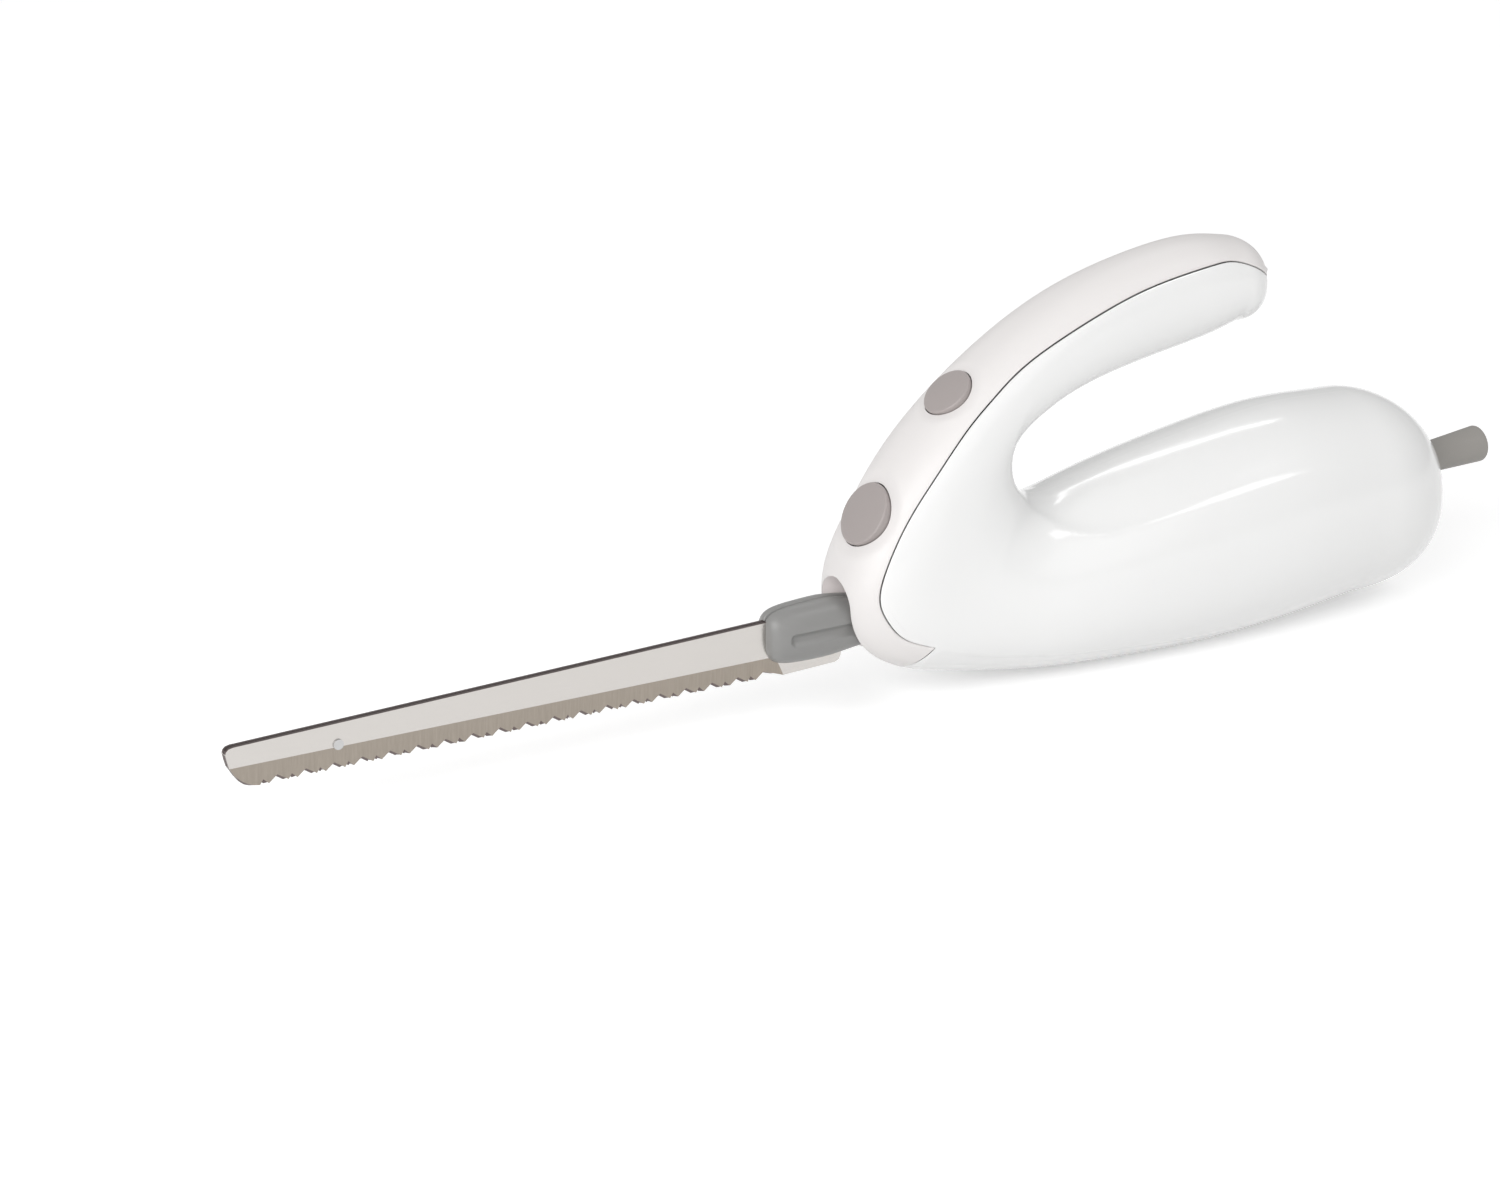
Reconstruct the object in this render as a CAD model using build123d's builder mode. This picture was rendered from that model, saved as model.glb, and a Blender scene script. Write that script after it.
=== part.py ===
"""Electric carving knife, in millimetres.

The blades point to -X, the cord outlet to +X, and Z is up. Y = 0 is the middle plane, and the left
side of the knife is at -Y. The origin is the centre of the flat under the belly.
"""

import os
from math import cos, pi, radians, sin, tan

from build123d import *

# Overall sizes of the machine without its blades
body_length = 226.0
body_height = 132.0
body_half_width = 33.0
wall = 2.3
clearance = 0.3
fit_gap = 0.05
overrun = 60.0

# Blades
blade_thickness = 1.2
blade_gap = 0.3
blade_edge_height = 14.7
tooth_pitch = 8.9
tooth_depth = 2.2
bevel_height = 6.7
edge_thickness = 0.3
tang_length = 63.0
tang_height = 10.5
tang_height_above_base = 21.0
guard_length = 34.0
guard_height = 16.1
guard_half_thickness = 7.3
guard_front_x = -156.0

# Drive
stroke = 8.0
gear_teeth = 20
gear_module = 1.0
gear_width = 8.0
gear_x = -38.0
gear_axle_height = 25.0
gear_axle_radius = 1.5
worm_pitch_radius = 4.0
shaft_radius = 2.0

# Motor
stator_front_x = 6.0
stack_length = 32.0
rotor_radius = 13.0
air_gap = 0.4
stator_width = 42.0
stator_height = 40.0

# Buttons
power_radius = 8.3
power_travel = 1.5
eject_radius = 10.2
eject_travel = 3.5

# Cord outlet
cord_radius = 3.6
sleeve_tilt = 3.8

# Worked out from the sizes above
worm_axis_height = gear_axle_height + worm_pitch_radius + gear_module * gear_teeth / 2
guard_rear_x = guard_front_x + guard_length
tang_end_x = guard_rear_x + tang_length
tang_top = tang_height_above_base + tang_height
blade_outer_y = blade_gap / 2 + blade_thickness
blade_inner_y = blade_gap / 2


def block(x, y, z, mode=Mode.ADD):
    """Box between two limits along each axis."""
    with Locations(((x[0] + x[1]) / 2, (y[0] + y[1]) / 2, (z[0] + z[1]) / 2)):
        Box(x[1] - x[0], y[1] - y[0], z[1] - z[0], mode=mode)


def rod(start, direction, radius, length, mode=Mode.ADD):
    """Cylinder that starts at a point and runs along a direction."""
    with BuildSketch(Plane(origin=start, z_dir=direction)) as outline:
        Circle(radius)
    extrude(outline.sketch, amount=length, mode=mode)


def tube(start, direction, outer, inner, length, mode=Mode.ADD):
    """Hollow cylinder that starts at a point and runs along a direction."""
    with BuildSketch(Plane(origin=start, z_dir=direction)) as outline:
        Circle(outer)
        Circle(inner, mode=Mode.SUBTRACT)
    extrude(outline.sketch, amount=length, mode=mode)


def plate(points, y, mode=Mode.ADD):
    """Flat plate with an outline in X and Z, between two places along Y."""
    with BuildSketch(Plane.XZ.offset(-y[1])) as outline:
        with BuildLine():
            Polyline(*points, close=True)
        make_face()
    extrude(outline.sketch, amount=y[1] - y[0], mode=mode)


def save(builder, name):
    """Label a finished piece and write it as its own file."""
    builder.part.label = name
    export_step(builder.part, f"parts/{name}.step")


def mirrored(builder, name):
    """The same piece for the other side of the knife, written as its own file."""
    with BuildPart() as other:
        mirror(builder.part, about=Plane.XZ)
    save(other, name)
    return other


os.makedirs("parts", exist_ok=True)

# Housing form. Each section runs across the C from its inner edge, on the finger gap, to its outer
# edge. Shares: inner x, inner z, outer x, outer z, half width, then the fullness of the two edges.
housing_shares = [
    (0.058, 0.779, 0.055, 0.985, 0.412, 2.1, 2.2),
    (0.013, 0.756, -0.013, 0.998, 0.430, 2.1, 2.3),
    (-0.053, 0.738, -0.106, 0.979, 0.439, 2.2, 2.3),
    (-0.124, 0.720, -0.199, 0.936, 0.455, 2.3, 2.4),
    (-0.192, 0.697, -0.283, 0.870, 0.470, 2.4, 2.5),
    (-0.252, 0.663, -0.363, 0.780, 0.494, 2.5, 2.5),
    (-0.296, 0.614, -0.433, 0.679, 0.524, 2.6, 2.5),
    (-0.313, 0.561, -0.493, 0.568, 0.555, 2.7, 2.5),
    (-0.308, 0.509, -0.542, 0.442, 0.576, 2.7, 2.6),
    (-0.293, 0.468, -0.577, 0.303, 0.600, 2.7, 2.7),
    (-0.276, 0.444, -0.558, 0.163, 0.630, 2.6, 2.8),
    (-0.254, 0.434, -0.480, 0.079, 0.676, 2.5, 2.8),
    (-0.224, 0.436, -0.389, 0.042, 0.736, 2.4, 2.6),
    (-0.174, 0.456, -0.288, 0.014, 0.827, 2.3, 2.5),
    (-0.093, 0.487, -0.155, -0.002, 0.924, 2.2, 2.4),
    (0.022, 0.520, 0.000, -0.008, 0.988, 2.2, 2.3),
    (0.142, 0.543, 0.133, 0.005, 1.000, 2.2, 2.2),
    (0.252, 0.537, 0.252, 0.026, 0.955, 2.2, 2.1),
]
handle_end_radius = 12.4
handle_end_fullness = 2.3
handle_end_direction = (0.985, -0.17)
handle_end_lift = 0.8
tail_length = 38.2
tail_fullness = 2.35
tail_direction = (1.0, 0.0)
tail_lift = -4.0
end_angles = (30, 55, 73, 85)
points_per_half = 8


def end_sections(first, direction, reach, fullness, lift, angles):
    """Shrink a section along a direction, as a rounded end."""
    ix, iz, ox, oz, half_width, inner_fullness, outer_fullness = first
    mid_x = (ix + ox) / 2
    mid_z = (iz + oz) / 2
    sections = []
    for angle in angles:
        scale = cos(radians(angle)) ** (2 / fullness)
        along = sin(radians(angle)) ** (2 / fullness)
        centre_x = mid_x + direction[0] * reach * along
        centre_z = mid_z + direction[1] * reach * along + lift * along**2
        sections.append(
            (
                centre_x + (ix - mid_x) * scale,
                centre_z + (iz - mid_z) * scale,
                centre_x + (ox - mid_x) * scale,
                centre_z + (oz - mid_z) * scale,
                half_width * scale,
                inner_fullness,
                outer_fullness,
            )
        )
    return sections


def housing_sections(inset, angles):
    """All sections of the housing, moved inwards by an inset."""
    middle = []
    for ix, iz, ox, oz, width, inner_fullness, outer_fullness in housing_shares:
        inner = Vector(ix * body_length, 0, iz * body_height)
        outer = Vector(ox * body_length, 0, oz * body_height)
        step = (outer - inner).normalized() * inset
        inner = inner + step
        outer = outer - step
        half_width = width * body_half_width - inset
        middle.append((inner.X, inner.Z, outer.X, outer.Z, half_width, inner_fullness, outer_fullness))
    handle_end = end_sections(
        middle[0],
        handle_end_direction,
        handle_end_radius - inset,
        handle_end_fullness,
        handle_end_lift,
        angles,
    )
    tail = end_sections(middle[-1], tail_direction, tail_length - inset, tail_fullness, tail_lift, angles)
    return handle_end[::-1] + middle + tail


def draw_half_section(section):
    """Closed outline of one section's left half: a spline from the inner to the outer edge, and a line."""
    ix, iz, ox, oz, half_width, inner_fullness, outer_fullness = section
    across = Vector(ox - ix, 0, oz - iz)
    half_depth = across.length / 2
    across = across.normalized()
    points = []
    for index in range(points_per_half + 1):
        angle = pi * index / points_per_half
        fullness = inner_fullness if angle < pi / 2 else outer_fullness
        side = 1 if cos(angle) > 0 else -1
        depth = half_depth - half_depth * side * abs(cos(angle)) ** (2 / fullness)
        points.append((depth, half_width * abs(sin(angle)) ** (2 / fullness)))
    section_plane = Plane(origin=(ix, 0, iz), x_dir=across, z_dir=(across.Z, 0, -across.X))
    with BuildSketch(section_plane) as outline:
        with BuildLine():
            edge = Spline(*points, tangents=[(0, 1), (0, -1)])
            Line(edge @ 1, edge @ 0)
        make_face()
    return outline.sketch


with BuildPart() as outer_half:
    loft([draw_half_section(section) for section in housing_sections(0, end_angles)])

# Places of the buttons and of the cord outlet on the housing form
power_centre = Vector(-0.402 * body_length, 0, 0.729 * body_height)
power_out = Vector(-0.647, 0, 0.763)
eject_centre = Vector(-0.534 * body_length, 0, 0.470 * body_height)
eject_out = Vector(-0.854, 0, 0.52)
button_guide_depth = 4.8
button_guide_wall = 1.6
eject_stem_radius = 3.5
eject_seat_depth = 13.0
eject_seat_thickness = 2.0
eject_seat_reach = 9.0

sleeve_out = Vector(cos(radians(sleeve_tilt)), 0, sin(radians(sleeve_tilt)))
sleeve_root = Vector(0.383 * body_length, 0, 0.307 * body_height)
sleeve_root_radius = 5.1
sleeve_flange_radius = 7.0
sleeve_flange_thickness = 2.0
sleeve_seat_half_width = 9.5
sleeve_seat_height = 19.0

# Screw posts: x and z shares of the body, on both halves
screw_shares = [
    (-0.022, 0.871),
    (-0.372, 0.545),
    (-0.345, 0.083),
    (0.340, 0.112),
    (0.372, 0.386),
]
screw_post_radius = 3.6
screw_radius = 1.4
screw_head_radius = 2.9
screw_head_height = 2.2
screw_seat_y = 7.0
screw_tip_y = -8.0

# Ribs in the shells, with a window around the motor
rib_thickness = 2.0
stator_rib_shares = (0.2, 0.8)
switch_post_radius = 2.0
switch_half_thickness = 3.15
switch_centre_offset = -3.0
switch_length = 20.0
switch_height = 9.0
switch_depth = 10.0

power_plane = Plane(origin=power_centre, x_dir=(power_out.Z, 0, -power_out.X), z_dir=power_out)
eject_plane = Plane(origin=eject_centre, x_dir=(eject_out.Z, 0, -eject_out.X), z_dir=eject_out)
switch_post_offsets = (
    switch_centre_offset - switch_length / 4,
    switch_centre_offset + switch_length / 4,
)
stator_rear_x = stator_front_x + stack_length

# Wiring pieces: the shells carry a seat for each
terminal_x = (68.0, 82.0)
terminal_y = (-20.0, -8.0)
terminal_z = (22.0, 31.0)
terminal_count = 3
terminal_hole = 6.0
capacitor_x = 68.0
capacitor_y = 15.0
capacitor_z = 26.5
capacitor_radius = 5.0
capacitor_length = 15.0
clamp_length = 4.0
clamp_half_width = 8.0
clamp_half_height = 4.6
seat_margin = 2.0

# Mouth in the nose: an arch open below, with a lining that leads inwards from the nose's wall
mouth_half_width = guard_half_thickness + 4 * clearance
mouth_top = 42.6
mouth_rear_x = -115.5
mouth_lining = 1.5
mouth_lining_side = [
    (-110.0, 60.0),
    (-127.2, 60.0),
    (-127.2, 40.0),
    (-126.2, 30.0),
    (-123.0, 20.0),
    (-119.0, 14.0),
    (-110.0, 14.0),
]


def arch(half_width):
    """Sketch of the mouth's arch with straight sides, standing on the base plane."""
    arch_plane = Plane(origin=(mouth_rear_x, 0, 0), x_dir=(0, -1, 0), z_dir=(-1, 0, 0))
    with BuildSketch(arch_plane) as outline:
        with Locations((0, mouth_top - mouth_half_width)):
            Circle(half_width)
        with Locations((0, (mouth_top - mouth_half_width) / 2)):
            Rectangle(2 * half_width, mouth_top - mouth_half_width)
    return outline.sketch


with BuildPart() as mouth:
    extrude(arch(mouth_half_width), amount=overrun)

with BuildPart() as lining_half:
    extrude(arch(mouth_half_width + mouth_lining), amount=overrun)
    extrude(arch(mouth_half_width), amount=overrun, mode=Mode.SUBTRACT)
    with BuildSketch(Plane.XZ):
        with BuildLine():
            Polyline(*mouth_lining_side, close=True)
        make_face()
    extrude(amount=body_half_width, mode=Mode.INTERSECT)

# What stays solid inside the shells: guides, posts, ribs and seats
with BuildPart() as inner_supports:
    for plane, radius in ((power_plane, power_radius), (eject_plane, eject_radius)):
        tube(
            plane.from_local_coords((0, 0, -button_guide_depth)),
            plane.z_dir,
            radius + clearance + button_guide_wall,
            radius + clearance,
            button_guide_depth,
        )
    with BuildSketch(eject_plane.offset(-eject_seat_depth)):
        Rectangle(2 * eject_seat_reach, 2 * body_half_width)
        Circle(eject_stem_radius + clearance, mode=Mode.SUBTRACT)
    extrude(amount=-eject_seat_thickness)
    for x_share, z_share in screw_shares:
        start = (x_share * body_length, body_half_width, z_share * body_height)
        rod(start, (0, -1, 0), screw_post_radius, 2 * body_half_width)
    for offset in switch_post_offsets:
        start = power_plane.from_local_coords((offset, 0, -switch_depth - switch_height / 2))
        for side in (-1, 1):
            begin = Vector(start.X, side * switch_half_thickness, start.Z)
            rod(begin, (0, side, 0), switch_post_radius, body_half_width)
    for share in stator_rib_shares:
        rib_x = stator_front_x + share * stack_length
        block(
            (rib_x - rib_thickness / 2, rib_x + rib_thickness / 2),
            (-body_half_width, body_half_width),
            (-wall, body_height / 2 + wall),
        )
    block(
        (stator_front_x, stator_rear_x),
        (-stator_width / 2, stator_width / 2),
        (worm_axis_height - stator_height / 2, worm_axis_height + stator_height / 2),
        mode=Mode.SUBTRACT,
    )
    block(
        (terminal_x[0] + seat_margin, terminal_x[1] - seat_margin),
        (-body_half_width, terminal_y[0]),
        (terminal_z[0] + seat_margin, terminal_z[1] - seat_margin),
    )
    block(
        (sleeve_root.X, body_length / 2),
        (-sleeve_seat_half_width, sleeve_seat_half_width),
        (sleeve_root.Z - sleeve_seat_height / 2, sleeve_root.Z + sleeve_seat_height / 2),
    )

with BuildPart() as cavity_half:
    loft([draw_half_section(section) for section in housing_sections(wall, end_angles[:-1])])
    add(inner_supports.part, mode=Mode.SUBTRACT)

# Vents under the belly
vent_count = 5
vent_pitch = 5.0
vent_width = 2.0
vent_length = 22.0
vent_start_x = 36.0

# Seam between the cover and the shells: x and z shares from the handle's end to the belly
seam_shares = [
    (0.133, 0.826),
    (0.102, 0.868),
    (0.075, 0.917),
    (0.040, 0.948),
    (0.000, 0.952),
    (-0.075, 0.936),
    (-0.173, 0.896),
    (-0.292, 0.814),
    (-0.362, 0.735),
    (-0.411, 0.662),
    (-0.462, 0.564),
    (-0.505, 0.464),
    (-0.536, 0.364),
    (-0.546, 0.293),
    (-0.538, 0.246),
    (-0.523, 0.208),
    (-0.501, 0.180),
    (-0.467, 0.158),
]
seam_under_shares = (-0.507, 0.068)
seam_outside_shares = [
    (-0.7, -0.1),
    (-0.7, 1.2),
    (0.3, 1.2),
]

with BuildPart() as cover_region:
    with BuildSketch(Plane.XZ):
        with BuildLine():
            seam = Spline(*[(x * body_length, z * body_height) for x, z in seam_shares])
            outside = [(x * body_length, z * body_height) for x, z in seam_outside_shares]
            under = (seam_under_shares[0] * body_length, seam_under_shares[1] * body_height)
            Polyline(seam @ 1, under, *outside, seam @ 0)
        make_face()
    extrude(amount=2 * body_half_width, both=True)


def cut_base_and_buttons():
    """Cut the belly flat and open the two button holes and the mouth."""
    block(
        (-body_length, body_length),
        (-body_half_width, body_half_width),
        (-body_height, 0),
        mode=Mode.SUBTRACT,
    )
    for plane, radius, travel in (
        (power_plane, power_radius, power_travel),
        (eject_plane, eject_radius, eject_travel),
    ):
        rod(
            plane.from_local_coords((0, 0, -button_guide_depth - travel)),
            plane.z_dir,
            radius + clearance,
            2 * button_guide_depth + travel,
            mode=Mode.SUBTRACT,
        )
    add(mouth.part, mode=Mode.SUBTRACT)


with BuildPart() as half_shell:
    add(outer_half.part)
    add(cavity_half.part, mode=Mode.SUBTRACT)
    cut_base_and_buttons()

with BuildPart() as half_cover:
    add(half_shell.part)
    add(cover_region.part, mode=Mode.INTERSECT)
    add(lining_half.part)

with BuildPart() as top_cover:
    add(half_cover.part)
    mirror(half_cover.part, about=Plane.XZ)
save(top_cover, "top_cover")

with BuildPart() as lower_half:
    add(half_shell.part)
    add(cover_region.part, mode=Mode.SUBTRACT)
    for index in range(vent_count):
        vent_x = vent_start_x + index * vent_pitch
        block(
            (vent_x, vent_x + vent_width),
            (-vent_length / 2, vent_length / 2),
            (-wall, 3 * wall),
            mode=Mode.SUBTRACT,
        )
    rod(
        sleeve_root - sleeve_out * wall,
        sleeve_out,
        sleeve_root_radius,
        overrun,
        mode=Mode.SUBTRACT,
    )
    rod(
        sleeve_root + sleeve_out * wall,
        sleeve_out,
        sleeve_flange_radius,
        sleeve_flange_thickness,
        mode=Mode.SUBTRACT,
    )

with BuildPart() as left_housing_shell:
    add(lower_half.part)
    for x_share, z_share in screw_shares:
        start = (x_share * body_length, 0, z_share * body_height)
        rod(start, (0, -1, 0), screw_radius, -screw_tip_y + clearance, mode=Mode.SUBTRACT)
save(left_housing_shell, "left_housing_shell")

with BuildPart() as right_housing_shell:
    mirror(lower_half.part, about=Plane.XZ)
    for x_share, z_share in screw_shares:
        seat = (x_share * body_length, screw_seat_y, z_share * body_height)
        rod(seat, (0, 1, 0), screw_head_radius + clearance, body_half_width, mode=Mode.SUBTRACT)
        rod(seat, (0, -1, 0), screw_radius, screw_seat_y, mode=Mode.SUBTRACT)
save(right_housing_shell, "right_housing_shell")


# Power button, its spring and the switch below it
power_thickness = 3.5
power_dome = 0.7
power_stem_radius = 1.9
power_spring_radius = 2.7
power_spring_wire = 0.3
power_spring_turns = 5
plunger_radius = 1.2
plunger_length = 7.0
plunger_standout = 1.8
edge_round = 0.8
switch_pin_gauge = 0.8
switch_pin_length = 4.0

with BuildPart() as power_button:
    with BuildSketch(power_plane.offset(-power_thickness)):
        Circle(power_radius)
    extrude(amount=power_thickness + power_dome)
    crown = power_button.edges().sort_by(Axis((0, 0, 0), power_out))[-1]
    fillet(crown, edge_round)
    with BuildSketch(power_plane.offset(-switch_depth + plunger_standout + clearance)):
        Circle(power_stem_radius)
    extrude(amount=switch_depth - power_thickness - plunger_standout - clearance)
save(power_button, "power_button")


def coil_spring(base_plane, radius, wire, turns, length):
    """One unbroken round wire wound as a helix between two flat seats."""
    rise = length - 2 * wire
    path = Helix(rise / turns, rise, radius, center=(0, 0, wire), mode=Mode.PRIVATE)
    with BuildPart() as coil:
        with BuildSketch(Plane(origin=path @ 0, z_dir=path % 0)):
            Circle(wire)
        sweep(path=path, is_frenet=True)
    return coil.part.moved(base_plane.location)


with BuildPart() as power_button_spring:
    add(
        coil_spring(
            power_plane.offset(-switch_depth),
            power_spring_radius,
            power_spring_wire,
            power_spring_turns,
            switch_depth - power_thickness - clearance,
        )
    )
save(power_button_spring, "power_button_spring")

with BuildPart() as switch_body:
    with BuildSketch(power_plane.offset(-switch_depth - switch_height)):
        with Locations((switch_centre_offset, 0)):
            Rectangle(switch_length, 2 * switch_half_thickness)
    extrude(amount=switch_height)
    fillet(switch_body.edges().filter_by(Axis.Y), edge_round)
    rod(
        power_plane.from_local_coords((0, 0, -switch_depth)),
        -power_out,
        plunger_radius + fit_gap,
        plunger_length,
        mode=Mode.SUBTRACT,
    )
    for offset in (0, -switch_centre_offset):
        with BuildSketch(power_plane.offset(-switch_depth - switch_height)):
            with Locations((offset, 0)):
                Rectangle(switch_pin_gauge, switch_half_thickness)
        extrude(amount=-switch_pin_length)
save(switch_body, "switch_body")

with BuildPart() as switch_plunger:
    rod(
        power_plane.from_local_coords((0, 0, -switch_depth + plunger_standout)),
        -power_out,
        plunger_radius,
        plunger_length - power_travel,
    )
save(switch_plunger, "switch_plunger")

# Eject button, the fork that it pushes and its spring
eject_thickness = 4.0
eject_spring_radius = 5.0
eject_spring_wire = 0.45
eject_spring_turns = 4
fork_plate_thickness = 3.0
fork_plate_reach = 3.4
fork_gauge = 1.5
ear_outer_y = 7.4
latch_gauge = 1.2
ear_top = 42.0
ear_front_x = -98.0
ear_rear_x = -94.0
fork_wedge_height = 2.5
fork_wedge_outer_y = 8.2
fork_wedge_inner_y = 6.3
fork_bottom = ear_top - clearance

with BuildPart() as eject_button:
    with BuildSketch(eject_plane.offset(-eject_thickness)):
        Circle(eject_radius)
    extrude(amount=eject_thickness)
    crown = eject_button.edges().filter_by(GeomType.CIRCLE).sort_by(Axis((0, 0, 0), eject_out))[-1]
    fillet(crown, 2 * edge_round)
save(eject_button, "eject_button")

fork_root = -eject_seat_depth - eject_seat_thickness - clearance
fork_outer_y = fork_wedge_outer_y + fork_gauge
fork_rear_x = ear_rear_x + stroke / 2 + eject_travel + clearance
fork_front_x = ear_front_x - stroke / 2 - clearance
fork_top_front = eject_plane.from_local_coords((fork_plate_reach, 0, fork_root))
fork_low_front = eject_plane.from_local_coords((-fork_plate_reach, 0, fork_root))

with BuildPart() as eject_fork:
    with BuildSketch(eject_plane.offset(fork_root - fork_plate_thickness)):
        Rectangle(2 * fork_plate_reach, 2 * fork_outer_y)
    extrude(amount=fork_plate_thickness)
    with BuildSketch(eject_plane.offset(fork_root)):
        Circle(eject_stem_radius)
    extrude(amount=-fork_root - eject_thickness)
    for side in (-1, 1):
        plate(
            [
                (fork_low_front.X, fork_low_front.Z),
                (fork_top_front.X, fork_top_front.Z),
                (fork_rear_x, fork_bottom + 2 * fork_wedge_height),
                (fork_rear_x, fork_bottom),
                (fork_front_x, fork_bottom),
            ],
            sorted((side * fork_wedge_inner_y, side * fork_outer_y)),
        )
        with BuildSketch(Plane.YZ.offset(fork_front_x - overrun)):
            with BuildLine():
                Polyline(
                    (side * fork_wedge_inner_y, fork_bottom),
                    (side * fork_wedge_outer_y, fork_bottom),
                    (side * fork_wedge_inner_y, fork_bottom + fork_wedge_height),
                    close=True,
                )
            make_face()
        extrude(amount=2 * overrun, mode=Mode.SUBTRACT)
save(eject_fork, "eject_fork")

with BuildPart() as eject_button_spring:
    add(
        coil_spring(
            eject_plane.offset(-eject_seat_depth),
            eject_spring_radius,
            eject_spring_wire,
            eject_spring_turns,
            eject_seat_depth - eject_thickness,
        )
    )
save(eject_button_spring, "eject_button_spring")

# Blades: plate outline with twin-tooth scallops and a ground bevel
blade_tip_x = -334.0
tip_top_z = 30.1
spine_rear_z = 34.0
edge_tip_z = 16.3
teeth_front_x = -324.8
teeth_rear_x = -153.5
heel_front_x = -149.0
heel_rear_x = -128.4
heel_rear_z = 15.3
heel_chamfer = 2.2
tang_hole_radius = 1.5
tang_hole_inset = 6.0
tang_notch_inset = 12.0
tang_notch_width = 3.0
tang_notch_depth = 2.0
tang_corner = 2.5
tip_shares = [
    (1.000, 0.85),
    (0.800, 0.43),
    (0.510, 0.22),
]
tooth_shares = [
    (0.00, 1.00),
    (0.27, 0.00),
    (0.46, 0.36),
    (0.64, 0.00),
]
first_gullet_share = 0.22
rivet_x = -298.6
rivet_z = 23.6
rivet_radius = 1.0
rivet_head_radius = 1.6
rivet_head_height = 0.5


def edge_height(x):
    """Height of the tooth tips at a place along the blade."""
    share = (x - teeth_rear_x) / (teeth_front_x - teeth_rear_x)
    return blade_edge_height + share * (edge_tip_z - blade_edge_height)


def blade_outline():
    """Outline of one blade from the tang's end round the tip, the teeth and the heel."""
    tip_width = teeth_front_x - blade_tip_x
    tip_height = tip_top_z - edge_tip_z
    points = [
        (tang_end_x, tang_top),
        (guard_rear_x - tang_corner, tang_top),
        (guard_rear_x - tang_corner, spine_rear_z),
        (blade_tip_x + tang_corner, tip_top_z),
    ]
    for x_share, z_share in tip_shares:
        points.append((teeth_front_x - x_share * tip_width, edge_tip_z + z_share * tip_height))
    points.append((teeth_front_x, edge_tip_z))
    count = int((teeth_rear_x - teeth_front_x) / tooth_pitch)
    for index in range(count):
        for along, depth in tooth_shares:
            x = teeth_front_x + (index + along + first_gullet_share) * tooth_pitch
            points.append((x, edge_height(x) + depth * tooth_depth))
    points += [
        (teeth_rear_x, blade_edge_height + tooth_depth),
        (heel_front_x, blade_edge_height),
        (heel_rear_x - heel_chamfer, heel_rear_z),
        (heel_rear_x, heel_rear_z + heel_chamfer),
        (heel_rear_x, tang_height_above_base),
        (tang_end_x - tang_notch_inset - tang_notch_width, tang_height_above_base),
        (tang_end_x - tang_notch_inset - tang_notch_width, tang_height_above_base + tang_notch_depth),
        (tang_end_x - tang_notch_inset, tang_height_above_base + tang_notch_depth),
        (tang_end_x - tang_notch_inset, tang_height_above_base),
        (tang_end_x - tang_corner, tang_height_above_base),
        (tang_end_x, tang_height_above_base + tang_corner),
    ]
    return points


def cut_bevel():
    """Grind the outer face of the left blade down to the edge, from the tip to the heel."""
    drop = blade_edge_height - edge_tip_z
    length = heel_front_x - blade_tip_x
    with BuildSketch(Plane.YZ.offset(heel_front_x)) as rear:
        with BuildLine():
            Polyline(
                (-blade_outer_y, blade_edge_height + bevel_height),
                (-blade_inner_y - edge_thickness, blade_edge_height),
                (-blade_inner_y - edge_thickness, -overrun),
                (-2 * blade_outer_y, -overrun),
                (-2 * blade_outer_y, blade_edge_height + bevel_height),
                close=True,
            )
        make_face()
    with BuildSketch(Plane.YZ.offset(heel_front_x - length)) as front:
        with BuildLine():
            Polyline(
                (-blade_outer_y, edge_tip_z + bevel_height),
                (-blade_inner_y - edge_thickness, blade_edge_height - drop),
                (-blade_inner_y - edge_thickness, -overrun - drop),
                (-2 * blade_outer_y, -overrun - drop),
                (-2 * blade_outer_y, edge_tip_z + bevel_height),
                close=True,
            )
        make_face()
    loft([rear.sketch, front.sketch], ruled=True, mode=Mode.SUBTRACT)


tang_hole_x = tang_end_x - tang_hole_inset
tang_mid_z = tang_height_above_base + tang_height / 2

with BuildPart() as left_blade:
    plate(blade_outline(), (-blade_outer_y, -blade_inner_y))
    cut_bevel()
    rod((tang_hole_x, 0, tang_mid_z), (0, -1, 0), tang_hole_radius, overrun, mode=Mode.SUBTRACT)
    rod((rivet_x, 0, rivet_z), (0, -1, 0), rivet_radius, overrun, mode=Mode.SUBTRACT)
save(left_blade, "left_blade")

with BuildPart() as right_blade_as_left:
    plate(blade_outline(), (-blade_outer_y, -blade_inner_y))
    cut_bevel()
    rod((tang_hole_x, 0, tang_mid_z), (0, -1, 0), tang_hole_radius, overrun, mode=Mode.SUBTRACT)
    with BuildSketch(Plane.XZ):
        with Locations((rivet_x, rivet_z)):
            SlotCenterToCenter(2 * stroke + 2 * clearance, 2 * (rivet_radius + fit_gap))
    extrude(amount=overrun, both=True, mode=Mode.SUBTRACT)
right_blade = mirrored(right_blade_as_left, "right_blade")

with BuildPart() as blade_rivet:
    rod(
        (rivet_x, -blade_outer_y - rivet_head_height, rivet_z),
        (0, 1, 0),
        rivet_head_radius,
        rivet_head_height,
    )
    rod(
        (rivet_x, -blade_outer_y, rivet_z),
        (0, 1, 0),
        rivet_radius,
        2 * blade_outer_y + 2 * fit_gap,
    )
    rod(
        (rivet_x, blade_outer_y + 2 * fit_gap, rivet_z),
        (0, 1, 0),
        rivet_head_radius,
        rivet_head_height,
    )
save(blade_rivet, "blade_rivet")

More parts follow.
